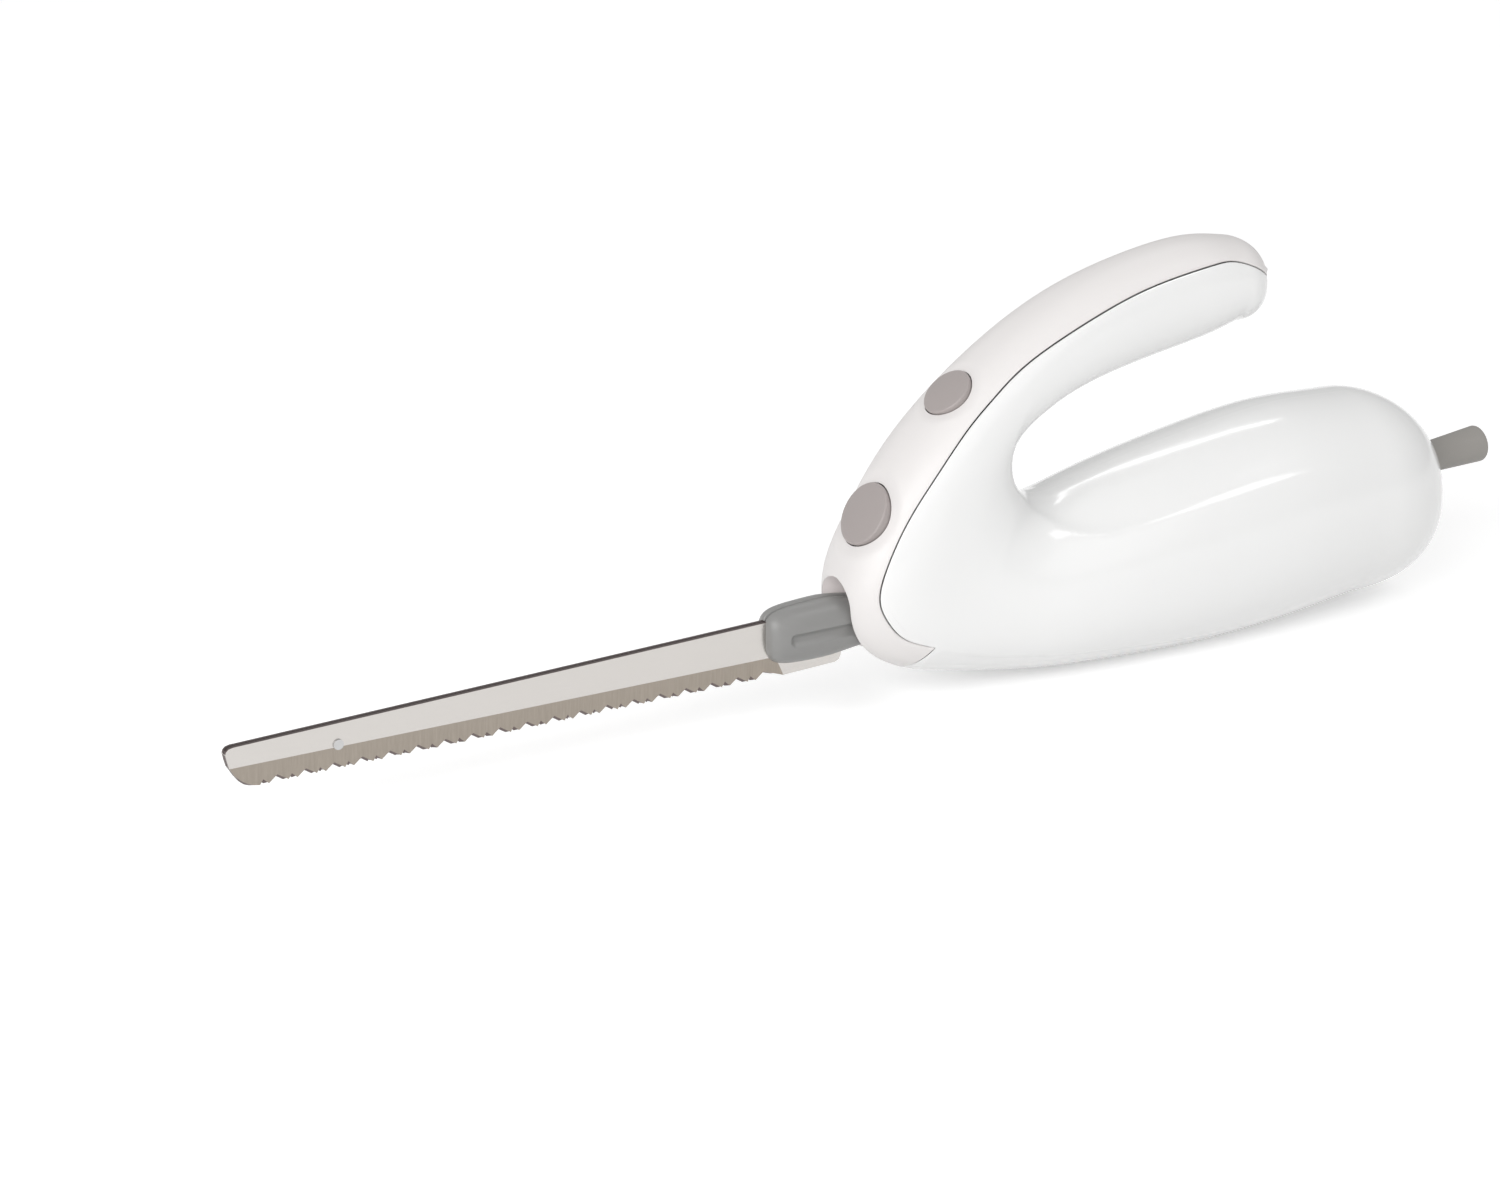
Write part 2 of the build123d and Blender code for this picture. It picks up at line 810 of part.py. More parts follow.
# Guards: one grip half moulded on each blade
guard_bottom = 19.5
guard_side_shares = [
    (0.00, 1.00),
    (0.42, 1.00),
    (0.92, 0.76),
    (1.00, 0.66),
    (1.00, 0.30),
    (0.72, 0.00),
    (0.00, 0.00),
]
guard_round = 2.0
groove_front = 5.5
groove_bottom_share = 0.42
groove_height = 3.2
groove_depth = 1.0

with BuildPart() as left_guard:
    with BuildSketch(Plane.YZ.offset(guard_front_x)):
        with BuildLine():
            reach = guard_half_thickness - blade_inner_y
            Polyline(
                *[
                    (-blade_inner_y - out * reach, guard_bottom + up * guard_height)
                    for out, up in guard_side_shares
                ],
                close=True,
            )
        make_face()
    extrude(amount=guard_length)
    front_edges = left_guard.faces().sort_by(Axis.X)[0].edges()
    inner_edges = left_guard.faces().sort_by(Axis.Y)[-1].edges()
    fillet([edge for edge in front_edges if edge not in inner_edges], guard_round)
    groove_z = guard_bottom + (groove_bottom_share * guard_height) + groove_height / 2
    with BuildSketch(Plane.XZ.offset(guard_half_thickness - groove_depth)):
        with Locations((guard_front_x + groove_front + guard_length, groove_z)):
            SlotOverall(2 * guard_length, groove_height)
    extrude(amount=overrun, mode=Mode.SUBTRACT)
    plate(blade_outline(), (-blade_outer_y, 0), mode=Mode.SUBTRACT)
save(left_guard, "left_guard")
right_guard = mirrored(left_guard, "right_guard")

# Blade drivers: sliding carriers that hold the tangs and reach round the drive gear
driver_front_x = -102.0
socket_rear_x = -66.0
driver_wall = 3.0
driver_lip = 1.8
driver_bridge_front = -62.0
driver_bridge_rear = -54.0
cam_radius = 6.6
cam_thickness = 1.0
yoke_border = 3.0
yoke_thickness = 3.0
yoke_front_x = -50.0
window_gap = 0.1
yoke_inner_y = gear_width / 2 + cam_thickness + clearance
yoke_outer_y = yoke_inner_y + yoke_thickness
driver_inner_y = blade_outer_y + clearance
driver_outer_y = driver_inner_y + driver_wall
driver_bottom = tang_height_above_base - clearance - driver_lip - 2 * clearance
driver_top = tang_top + clearance + driver_lip
latch_x = -82.0
latch_inner_y = ear_outer_y - latch_gauge
latch_mid_y = ear_outer_y - latch_gauge / 2
latch_bottom = 22.0
latch_top = 29.0
trunnion_radius = 1.1
trunnion_length = 3.0
lug_reach = 3.0
lug_height = 3.2
stud_radius = 1.2
bridge_top = worm_axis_height - 7.0

with BuildPart() as left_driver:
    block(
        (driver_front_x, socket_rear_x),
        (-driver_outer_y, -blade_inner_y),
        (driver_bottom, driver_top),
    )
    block(
        (driver_front_x - clearance, socket_rear_x + clearance),
        (-driver_inner_y, 0),
        (tang_height_above_base - clearance, tang_top + clearance),
        mode=Mode.SUBTRACT,
    )
    block(
        (socket_rear_x, driver_bridge_rear),
        (-driver_outer_y, -driver_inner_y),
        (driver_bottom, bridge_top),
    )
    block(
        (driver_bridge_front, driver_bridge_rear),
        (-yoke_outer_y, -driver_inner_y),
        (driver_bottom, bridge_top),
    )
    block(
        (driver_bridge_front, yoke_front_x),
        (-yoke_outer_y, -yoke_inner_y),
        (driver_bottom, bridge_top),
    )
    with BuildSketch(Plane.XZ.offset(yoke_inner_y)):
        window_half_width = cam_radius + window_gap
        window_half_height = cam_radius + stroke / 2 + window_gap
        with Locations((gear_x, gear_axle_height)):
            RectangleRounded(
                2 * (gear_x - yoke_front_x),
                2 * (window_half_height + yoke_border),
                yoke_border,
            )
            SlotOverall(2 * window_half_height, 2 * window_half_width, rotation=90, mode=Mode.SUBTRACT)
    extrude(amount=yoke_thickness)
    for low in (latch_bottom - clearance - lug_height, latch_top + clearance):
        block(
            (latch_x - lug_reach, latch_x + lug_reach),
            (-ear_outer_y - lug_reach / 2, -driver_outer_y),
            (low, low + lug_height),
        )
    rod(
        (latch_x, -latch_mid_y, 0),
        (0, 0, 1),
        trunnion_radius + fit_gap,
        overrun,
        mode=Mode.SUBTRACT,
    )
    with BuildSketch(Plane.XZ):
        with Locations((tang_hole_x, tang_mid_z)):
            SlotOverall(4 * stud_radius, 2 * (stud_radius + clearance))
    extrude(amount=overrun, mode=Mode.SUBTRACT)
save(left_driver, "left_driver")
right_driver = mirrored(left_driver, "right_driver")

with BuildPart() as left_latch:
    block(
        (ear_front_x, tang_hole_x + 2 * stud_radius - clearance),
        (-ear_outer_y, -latch_inner_y),
        (latch_bottom, latch_top),
    )
    block(
        (ear_front_x, ear_rear_x),
        (-ear_outer_y, -latch_inner_y),
        (latch_top, ear_top),
    )
    rod(
        (latch_x, -latch_mid_y, latch_bottom - trunnion_length),
        (0, 0, 1),
        trunnion_radius,
        latch_top - latch_bottom + 2 * trunnion_length,
    )
    rod(
        (tang_hole_x, -latch_inner_y, tang_mid_z),
        (0, 1, 0),
        stud_radius,
        latch_inner_y - driver_inner_y,
    )
save(left_latch, "left_latch")
right_latch = mirrored(left_latch, "right_latch")

# Gearbox frame: a cast box that carries the axle, the front bearing and the stator
frame_inner_y = yoke_outer_y + clearance
frame_gauge = 2.2
frame_outer_y = frame_inner_y + frame_gauge
frame_front_x = -61.0
frame_block_rear = -55.5
frame_rear_x = -19.0
frame_side_front_x = -57.0
frame_bottom = 8.0
frame_top = 47.0
bearing_radius = 6.0
shaft_hole_radius = 3.0
arm_inner_y = 18.0
arm_outer_y = 21.0
arm_half_height = 7.0

with BuildPart() as gearbox_frame:
    block(
        (frame_front_x, frame_rear_x),
        (-frame_outer_y, frame_outer_y),
        (frame_bottom, frame_top),
    )
    block(
        (frame_front_x - clearance, frame_rear_x - frame_gauge),
        (-frame_inner_y, frame_inner_y),
        (frame_bottom + frame_gauge, frame_top + clearance),
        mode=Mode.SUBTRACT,
    )
    block(
        (frame_front_x, frame_block_rear),
        (-frame_outer_y, frame_outer_y),
        (bridge_top + clearance, frame_top),
    )
    block(
        (frame_front_x - clearance, frame_side_front_x),
        (-frame_outer_y, frame_outer_y),
        (frame_bottom, bridge_top + clearance),
        mode=Mode.SUBTRACT,
    )
    block(
        (frame_rear_x - frame_gauge, frame_rear_x),
        (-arm_outer_y, arm_outer_y),
        (worm_axis_height - arm_half_height, worm_axis_height + arm_half_height),
    )
    for side in (-1, 1):
        block(
            (frame_rear_x, stator_front_x),
            sorted((side * arm_inner_y, side * arm_outer_y)),
            (worm_axis_height - arm_half_height, worm_axis_height + arm_half_height),
        )
    rod(
        (frame_front_x - clearance, 0, worm_axis_height),
        (1, 0, 0),
        bearing_radius,
        frame_block_rear - frame_front_x + clearance,
        mode=Mode.SUBTRACT,
    )
    rod(
        (frame_front_x, 0, worm_axis_height),
        (1, 0, 0),
        shaft_hole_radius,
        overrun,
        mode=Mode.SUBTRACT,
    )
    rod(
        (gear_x, -frame_outer_y, gear_axle_height),
        (0, 1, 0),
        gear_axle_radius,
        2 * frame_outer_y,
        mode=Mode.SUBTRACT,
    )
save(gearbox_frame, "gearbox_frame")

with BuildPart() as gear_axle:
    rod(
        (gear_x, -frame_outer_y, gear_axle_height),
        (0, 1, 0),
        gear_axle_radius,
        2 * frame_outer_y,
    )
save(gear_axle, "gear_axle")

# Drive gear: twenty teeth set at the worm's lead angle, with a round cam on each face
gear_pitch_radius = gear_module * gear_teeth / 2
tooth_tip_radius = gear_pitch_radius + gear_module
tooth_root_radius = gear_pitch_radius - 1.25 * gear_module
tooth_tip_share = 0.12
tooth_root_share = 0.30
lead_slope = gear_module / (2 * worm_pitch_radius)


def gear_outline(turn):
    """Points of the toothed outline, turned by an angle in radians."""
    points = []
    for index in range(gear_teeth):
        for radius, share in (
            (tooth_root_radius, -tooth_root_share),
            (tooth_tip_radius, -tooth_tip_share),
            (tooth_tip_radius, tooth_tip_share),
            (tooth_root_radius, tooth_root_share),
        ):
            angle = turn + 2 * pi * (index + share) / gear_teeth
            points.append((radius * sin(angle), radius * cos(angle)))
    return points


with BuildPart() as drive_gear:
    faces = []
    for side in (-1, 1):
        turn = side * gear_width / 2 * lead_slope / gear_pitch_radius
        face_plane = Plane(
            origin=(gear_x, side * gear_width / 2, gear_axle_height),
            x_dir=(1, 0, 0),
            z_dir=(0, -1, 0),
        )
        with BuildSketch(face_plane) as tooth_face:
            with BuildLine():
                Polyline(*gear_outline(turn), close=True)
            make_face()
        faces.append(tooth_face.sketch)
    loft(faces, ruled=True)
    for side in (-1, 1):
        rod(
            (gear_x, side * gear_width / 2, gear_axle_height - side * stroke / 2),
            (0, side, 0),
            cam_radius,
            cam_thickness,
        )
    rod(
        (gear_x, -overrun, gear_axle_height),
        (0, 1, 0),
        gear_axle_radius + fit_gap,
        2 * overrun,
        mode=Mode.SUBTRACT,
    )
save(drive_gear, "drive_gear")

# Motor shaft with its worm
worm_turns = 6
worm_root_radius = 2.7
thread_root_share = 0.30
thread_tip_share = 0.14
thread_sink = 0.15
shaft_front_x = -61.0
shaft_rear_x = 66.0
lead = pi * gear_module

with BuildPart() as motor_shaft:
    rod((shaft_front_x, 0, worm_axis_height), (1, 0, 0), shaft_radius, shaft_rear_x - shaft_front_x)
    thread_length = worm_turns * lead
    thread_start = gear_x - thread_length / 2
    rod(
        (thread_start - lead / 2, 0, worm_axis_height),
        (1, 0, 0),
        worm_root_radius,
        thread_length + lead,
    )
    thread_plane = Plane(origin=(thread_start, 0, worm_axis_height), x_dir=(0, 0, 1), z_dir=(1, 0, 0))
    thread_path = Helix(lead, thread_length, worm_root_radius, mode=Mode.PRIVATE)
    thread_path = thread_path.moved(thread_plane.location)
    start_point = thread_path @ 0
    outwards = Vector(0, start_point.Y, start_point.Z - worm_axis_height).normalized()
    tip_radius = worm_pitch_radius + gear_module
    with BuildSketch(Plane(origin=start_point, x_dir=outwards, z_dir=thread_path % 0)) as thread_section:
        with BuildLine():
            depth = tip_radius - worm_root_radius
            Polyline(
                (-thread_sink, -thread_root_share * lead),
                (depth, -thread_tip_share * lead),
                (depth, thread_tip_share * lead),
                (-thread_sink, thread_root_share * lead),
                close=True,
            )
        make_face()
    sweep(thread_section.sketch, path=thread_path, is_frenet=True)
save(motor_shaft, "motor_shaft")

bearing_length = 5.0
with BuildPart() as front_bearing:
    tube(
        (frame_front_x + clearance, 0, worm_axis_height),
        (1, 0, 0),
        bearing_radius,
        shaft_radius + fit_gap,
        bearing_length,
    )
save(front_bearing, "front_bearing")

# Armature: slotted core, end windings, commutator and fan, all on the shaft
slot_count = 12
slot_width = 2.0
slot_depth = 6.0
winding_radius = 11.0
winding_length = 6.5
winding_hub = 3.5
commutator_radius = 8.0
commutator_front_x = 48.0
commutator_length = 10.0
segment_gap = 0.5
fan_front_x = -16.0
fan_length = 8.0
fan_radius = 15.0
fan_hub_radius = 5.0
blade_count = 10
fan_blade_gauge = 1.4
fan_disc = 1.6

with BuildPart() as armature_core:
    tube(
        (stator_front_x, 0, worm_axis_height),
        (1, 0, 0),
        rotor_radius,
        shaft_radius,
        stack_length,
    )
    slot_plane = Plane(origin=(stator_front_x, 0, worm_axis_height), x_dir=(0, 1, 0), z_dir=(1, 0, 0))
    with BuildSketch(slot_plane):
        with PolarLocations(rotor_radius, slot_count):
            Rectangle(2 * slot_depth, slot_width)
    extrude(amount=stack_length, mode=Mode.SUBTRACT)
save(armature_core, "armature_core")

with BuildPart() as armature_winding:
    for start in (stator_front_x - winding_length, stator_rear_x):
        tube(
            (start, 0, worm_axis_height),
            (1, 0, 0),
            winding_radius,
            shaft_radius,
            winding_length,
        )
    fillet(armature_winding.edges().filter_by(GeomType.CIRCLE).group_by(Axis.X)[0].sort_by(SortBy.RADIUS)[-1], winding_hub)
    fillet(armature_winding.edges().filter_by(GeomType.CIRCLE).group_by(Axis.X)[-1].sort_by(SortBy.RADIUS)[-1], winding_hub)
save(armature_winding, "armature_winding")

with BuildPart() as commutator:
    tube(
        (commutator_front_x, 0, worm_axis_height),
        (1, 0, 0),
        commutator_radius,
        shaft_radius,
        commutator_length,
    )
    groove_plane = Plane(
        origin=(commutator_front_x, 0, worm_axis_height),
        x_dir=(0, 1, 0),
        z_dir=(1, 0, 0),
    )
    with BuildSketch(groove_plane):
        with PolarLocations(commutator_radius, slot_count):
            Rectangle(2 * segment_gap, segment_gap)
    extrude(amount=commutator_length, mode=Mode.SUBTRACT)
save(commutator, "commutator")

with BuildPart() as cooling_fan:
    tube((fan_front_x, 0, worm_axis_height), (1, 0, 0), fan_hub_radius, shaft_radius, fan_length)
    tube((fan_front_x, 0, worm_axis_height), (1, 0, 0), fan_radius, fan_hub_radius, fan_disc)
    fan_plane = Plane(origin=(fan_front_x, 0, worm_axis_height), x_dir=(0, 1, 0), z_dir=(1, 0, 0))
    with BuildSketch(fan_plane):
        with PolarLocations(fan_radius / 2, blade_count):
            Rectangle(fan_radius - 2 * fan_disc, fan_blade_gauge)
    extrude(amount=fan_length)
    rod((fan_front_x, 0, worm_axis_height), (1, 0, 0), shaft_radius, fan_length, mode=Mode.SUBTRACT)
save(cooling_fan, "cooling_fan")

# Stator: laminated stack with windows for the two field coils
window_outer_radius = 17.6
window_angle = 42.0
coil_gap = 0.3
coil_end_length = 6.0
stator_corner = 8.0
stator_plane = Plane(origin=(stator_front_x, 0, worm_axis_height), x_dir=(0, 1, 0), z_dir=(1, 0, 0))


def sector(outer, inner, start, end):
    """Points of a ring sector between two angles in degrees, measured from +Y towards +Z."""
    points = []
    steps = 8
    for index in range(steps + 1):
        angle = radians(start + (end - start) * index / steps)
        points.append((outer * cos(angle), outer * sin(angle)))
    for index in range(steps + 1):
        angle = radians(end + (start - end) * index / steps)
        points.append((inner * cos(angle), inner * sin(angle)))
    return points


bore_radius = rotor_radius + air_gap
with BuildPart() as stator_core:
    with BuildSketch(stator_plane):
        RectangleRounded(stator_width, stator_height, stator_corner)
        Circle(bore_radius, mode=Mode.SUBTRACT)
    extrude(amount=stack_length)
    for middle in (90, 270):
        with BuildSketch(stator_plane):
            with BuildLine():
                Polyline(
                    *sector(
                        window_outer_radius,
                        bore_radius - air_gap / 2,
                        middle - window_angle,
                        middle + window_angle,
                    ),
                    close=True,
                )
            make_face()
        extrude(amount=stack_length, mode=Mode.SUBTRACT)
save(stator_core, "stator_core")

coil_edge_angle = 3.0
coil_side_angle = window_angle - 2 * coil_edge_angle
coil_outer_radius = window_outer_radius - coil_gap
coil_inner_radius = bore_radius + 2 * air_gap
with BuildPart() as field_coils:
    for middle in (0, 180):
        for offset in (-coil_end_length - coil_gap, stack_length + coil_gap):
            with BuildSketch(stator_plane.offset(offset)):
                with BuildLine():
                    Polyline(
                        *sector(
                            coil_outer_radius,
                            coil_inner_radius,
                            middle - 90 + coil_edge_angle,
                            middle + 90 - coil_edge_angle,
                        ),
                        close=True,
                    )
                make_face()
            extrude(amount=coil_end_length)
        for side in (-1, 1):
            limits = sorted(
                (
                    middle + side * (90 - coil_edge_angle),
                    middle + side * (90 - coil_side_angle),
                )
            )
            with BuildSketch(stator_plane.offset(-coil_end_length - coil_gap)):
                with BuildLine():
                    Polyline(*sector(coil_outer_radius, coil_inner_radius, *limits), close=True)
                make_face()
            extrude(amount=stack_length + 2 * (coil_end_length + coil_gap))
save(field_coils, "field_coils")

# Rear end bracket, its bearing, the brushes and their springs
bracket_plate_x = 61.0
bracket_gauge = 3.0
bracket_plate_half = 9.0
brush_front_x = 50.5
brush_width = 5.0
brush_height = 5.0
brush_length = 6.0
holder_wall = 1.2
holder_inner_y = 9.5
brush_spring_radius = 1.6
brush_spring_wire = 0.3
brush_spring_turns = 2

with BuildPart() as motor_end_bracket:
    block(
        (bracket_plate_x, bracket_plate_x + bracket_gauge),
        (-stator_width / 2, stator_width / 2),
        (worm_axis_height - bracket_plate_half, worm_axis_height + bracket_plate_half),
    )
    for side in (-1, 1):
        block(
            (stator_rear_x, bracket_plate_x),
            sorted((side * (stator_width / 2 - bracket_gauge), side * stator_width / 2)),
            (worm_axis_height - bracket_plate_half, worm_axis_height + bracket_plate_half),
        )
    rod(
        (bracket_plate_x, 0, worm_axis_height),
        (1, 0, 0),
        bearing_radius + bracket_gauge / 2,
        bearing_length,
    )
    rod(
        (bracket_plate_x - clearance, 0, worm_axis_height),
        (1, 0, 0),
        bearing_radius,
        overrun,
        mode=Mode.SUBTRACT,
    )
save(motor_end_bracket, "motor_end_bracket")

with BuildPart() as rear_bearing:
    tube(
        (bracket_plate_x, 0, worm_axis_height),
        (1, 0, 0),
        bearing_radius,
        shaft_radius + fit_gap,
        bearing_length,
    )
save(rear_bearing, "rear_bearing")

brush_rear_y = commutator_radius + clearance + brush_length
bracket_inner_y = stator_width / 2 - bracket_gauge
with BuildPart() as carbon_brushes:
    for side in (-1, 1):
        block(
            (brush_front_x, brush_front_x + brush_width),
            sorted((side * (commutator_radius + clearance), side * brush_rear_y)),
            (worm_axis_height - brush_height / 2, worm_axis_height + brush_height / 2),
        )
save(carbon_brushes, "carbon_brushes")

with BuildPart() as brush_holders:
    for side in (-1, 1):
        block(
            (brush_front_x - holder_wall - fit_gap, brush_front_x + brush_width + holder_wall + fit_gap),
            sorted((side * holder_inner_y, side * bracket_inner_y)),
            (
                worm_axis_height - brush_height / 2 - holder_wall - fit_gap,
                worm_axis_height + brush_height / 2 + holder_wall + fit_gap,
            ),
        )
        block(
            (brush_front_x - fit_gap, brush_front_x + brush_width + fit_gap),
            sorted((side * (holder_inner_y - clearance), side * (bracket_inner_y - holder_wall))),
            (
                worm_axis_height - brush_height / 2 - fit_gap,
                worm_axis_height + brush_height / 2 + fit_gap,
            ),
            mode=Mode.SUBTRACT,
        )
save(brush_holders, "brush_holders")

with BuildPart() as brush_springs:
    for side in (-1, 1):
        seat = Plane(
            origin=(brush_front_x + brush_width / 2, side * brush_rear_y, worm_axis_height),
            z_dir=(0, side, 0),
        )
        add(
            coil_spring(
                seat,
                brush_spring_radius,
                brush_spring_wire,
                brush_spring_turns,
                bracket_inner_y - holder_wall - brush_rear_y,
            )
        )
save(brush_springs, "brush_springs")

# Wiring pieces at the tail, each on a post of one shell
with BuildPart() as terminal_block:
    block(terminal_x, terminal_y, terminal_z)
    for index in range(terminal_count):
        hole_x = terminal_x[0] + (index + 1 / 2) * (terminal_x[1] - terminal_x[0]) / terminal_count
        hole_z = (terminal_z[0] + terminal_z[1]) / 2
        rod((hole_x, terminal_y[1], hole_z), (0, -1, 0), screw_radius, terminal_hole, mode=Mode.SUBTRACT)
save(terminal_block, "terminal_block")

with BuildPart() as suppression_capacitor:
    rod((capacitor_x, capacitor_y, capacitor_z), (1, 0, 0), capacitor_radius, capacitor_length)
    fillet(suppression_capacitor.edges().filter_by(GeomType.CIRCLE), edge_round)
save(suppression_capacitor, "suppression_capacitor")

with BuildPart() as cord_clamp:
    clamp_z = sleeve_root.Z - clamp_length * tan(radians(sleeve_tilt)) / 2
    block(
        (sleeve_root.X - clamp_length, sleeve_root.X - 2 * clearance),
        (-clamp_half_width, clamp_half_width),
        (clamp_z - clamp_half_height, clamp_z + clamp_half_height),
    )
    rod(sleeve_root - sleeve_out * overrun, sleeve_out, cord_radius, 2 * overrun, mode=Mode.SUBTRACT)
save(cord_clamp, "cord_clamp")

# Cord outlet sleeve: a flange held in the housing wall and a flared free end
sleeve_length = 32.5
sleeve_neck_radius = 5.0
sleeve_end_radius = 6.1
sleeve_round = 1.2
sleeve_neck_length = 8.0

with BuildPart() as cord_sleeve:
    sleeve_rings = []
    for along, radius in (
        (sleeve_neck_length, sleeve_neck_radius),
        (sleeve_length, sleeve_end_radius),
    ):
        with BuildSketch(Plane(origin=sleeve_root + sleeve_out * along, z_dir=sleeve_out)) as ring:
            Circle(radius)
        sleeve_rings.append(ring.sketch)
    loft(sleeve_rings, ruled=True)
    fillet(cord_sleeve.edges().sort_by(Axis.X)[-1], sleeve_round)
    rod(sleeve_root, sleeve_out, sleeve_neck_radius, sleeve_neck_length)
    rod(
        sleeve_root + sleeve_out * (wall + fit_gap),
        sleeve_out,
        sleeve_flange_radius - fit_gap,
        sleeve_flange_thickness - 2 * fit_gap,
    )
    rod(sleeve_root - sleeve_out * overrun, sleeve_out, cord_radius, 2 * overrun, mode=Mode.SUBTRACT)
save(cord_sleeve, "cord_sleeve")

with BuildPart() as housing_screws:
    for x_share, z_share in screw_shares:
        seat = (x_share * body_length, screw_seat_y, z_share * body_height)
        rod(seat, (0, 1, 0), screw_head_radius, screw_head_height)
        rod(seat, (0, -1, 0), screw_radius, screw_seat_y - screw_tip_y)
save(housing_screws, "housing_screws")
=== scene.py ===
import math

import bmesh
import bpy
import numpy as np
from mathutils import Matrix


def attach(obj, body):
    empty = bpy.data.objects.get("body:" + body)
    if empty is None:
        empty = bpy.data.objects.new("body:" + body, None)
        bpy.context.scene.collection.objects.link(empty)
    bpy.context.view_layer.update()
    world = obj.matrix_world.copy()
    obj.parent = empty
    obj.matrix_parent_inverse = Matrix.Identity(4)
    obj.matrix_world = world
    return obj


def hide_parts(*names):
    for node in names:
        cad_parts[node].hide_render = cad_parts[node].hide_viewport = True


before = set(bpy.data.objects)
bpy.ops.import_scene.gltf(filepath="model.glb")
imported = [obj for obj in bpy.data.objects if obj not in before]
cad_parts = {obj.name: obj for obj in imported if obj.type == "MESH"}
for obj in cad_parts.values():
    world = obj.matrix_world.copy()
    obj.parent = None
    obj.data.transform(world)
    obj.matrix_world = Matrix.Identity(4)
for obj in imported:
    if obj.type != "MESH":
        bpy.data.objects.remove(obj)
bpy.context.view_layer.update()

MM = 0.001

# Camera
# The camera stands 1364 mm from the blades' middle, 30 degrees off square and 21.3 degrees above.
VIEW_TURN = math.radians(30.0)
VIEW_LIFT = math.radians(21.3)
VIEW_DISTANCE = 1.3636
LOOK_AT = np.array([-0.160, 0.0, 0.041])
away = np.array([
    -math.sin(VIEW_TURN) * math.cos(VIEW_LIFT),
    -math.cos(VIEW_TURN) * math.cos(VIEW_LIFT),
    math.sin(VIEW_LIFT),
])
camera_data = bpy.data.cameras.new("camera")
camera_data.lens = 108.0
camera_data.sensor_width = 36.0
camera_data.clip_end = 20.0
camera = bpy.data.objects.new("camera", camera_data)
bpy.context.scene.collection.objects.link(camera)
camera.location = LOOK_AT + VIEW_DISTANCE * away
camera.rotation_euler = (math.pi / 2 - VIEW_LIFT, 0.0, -VIEW_TURN)
bpy.context.scene.camera = camera


# Mesh helpers
def add_piece(name, points, faces, materials, face_materials=None, sharp=35.0):
    """A mesh object from points in millimetres and faces of vertex numbers, with sharp edges kept."""
    mesh = bpy.data.meshes.new(name)
    mesh.from_pydata((np.asarray(points, float) * MM).tolist(), [], [tuple(face) for face in faces])
    for material in materials:
        mesh.materials.append(material)
    if face_materials is not None:
        mesh.polygons.foreach_set("material_index", np.asarray(face_materials, int))
    mesh.polygons.foreach_set("use_smooth", np.ones(len(mesh.polygons), bool))
    if sharp:
        mesh.set_sharp_from_angle(angle=math.radians(sharp))
    mesh.update()
    obj = bpy.data.objects.new(name, mesh)
    bpy.context.scene.collection.objects.link(obj)
    return obj


def grid_faces(rows, columns, wrap=False, start=0):
    """Quads of a grid of vertices, row by row; wrap joins the last column to the first."""
    row = np.arange(rows - 1)[:, None]
    column = np.arange(columns if wrap else columns - 1)[None, :]
    after = (column + 1) % columns
    quads = np.stack([
        row * columns + column,
        row * columns + after,
        (row + 1) * columns + after,
        (row + 1) * columns + column,
    ], axis=-1)
    return quads.reshape(-1, 4) + start


def ring_piece(name, rings, materials, ring_material=None, sharp=35.0):
    """A closed body from an array of rings (ring, point, xyz), with one flat cap at each end."""
    rings = np.asarray(rings, float)
    count, width = rings.shape[:2]
    faces = grid_faces(count, width, wrap=True).tolist()
    slots = None
    if ring_material is not None:
        slots = np.broadcast_to(np.asarray(ring_material)[None, :], (count - 1, width)).reshape(-1).tolist()
        slots += [0, 0]
    faces.append(list(range(width))[::-1])
    faces.append(list(range((count - 1) * width, count * width)))
    obj = add_piece(name, rings.reshape(-1, 3), faces, materials, slots, sharp)
    face_outwards(obj)
    return obj


def face_outwards(obj, near=1e-7):
    """Merges coincident vertices and turns all faces outwards."""
    work = bmesh.new()
    work.from_mesh(obj.data)
    bmesh.ops.remove_doubles(work, verts=work.verts, dist=near)
    bmesh.ops.recalc_face_normals(work, faces=work.faces)
    work.to_mesh(obj.data)
    work.free()
    obj.data.update()


def turned(profile, centre, axis, side, steps=96):
    """Rings of a body turned round an axis: each (along, radius) pair of the profile makes a circle."""
    axis = np.asarray(axis, float) / np.linalg.norm(axis)
    side = np.asarray(side, float) / np.linalg.norm(side)
    other = np.cross(axis, side)
    turn = np.linspace(0.0, 2 * np.pi, steps, endpoint=False)
    along = np.array([p[0] for p in profile])[:, None, None]
    radius = np.array([p[1] for p in profile])[:, None, None]
    circle = np.cos(turn)[:, None] * side + np.sin(turn)[:, None] * other
    return np.asarray(centre, float) + along * axis + radius * circle[None]


def apply_modifiers(obj):
    """Makes the object's modifiers part of its mesh."""
    graph = bpy.context.evaluated_depsgraph_get()
    mesh = bpy.data.meshes.new_from_object(obj.evaluated_get(graph))
    obj.modifiers.clear()
    obj.data = mesh


def combine(obj, operation, others):
    """Subtracts, joins or keeps the common part of a piece and other bodies, and removes those."""
    for other in others:
        tool = obj.modifiers.new("combine", "BOOLEAN")
        tool.operation = operation
        tool.solver = "EXACT"
        tool.object = other
    apply_modifiers(obj)
    for other in others:
        bpy.data.objects.remove(other)


# Materials
def new_material(name):
    """An empty node material with one principled shader and object coordinates through a mapping node."""
    material = bpy.data.materials.new(name)
    material.use_nodes = True
    nodes = material.node_tree.nodes
    links = material.node_tree.links
    shader = nodes["Principled BSDF"]
    place = nodes.new("ShaderNodeTexCoord")
    mapping = nodes.new("ShaderNodeMapping")
    links.new(place.outputs["Object"], mapping.inputs["Vector"])
    return material, nodes, links, shader, mapping


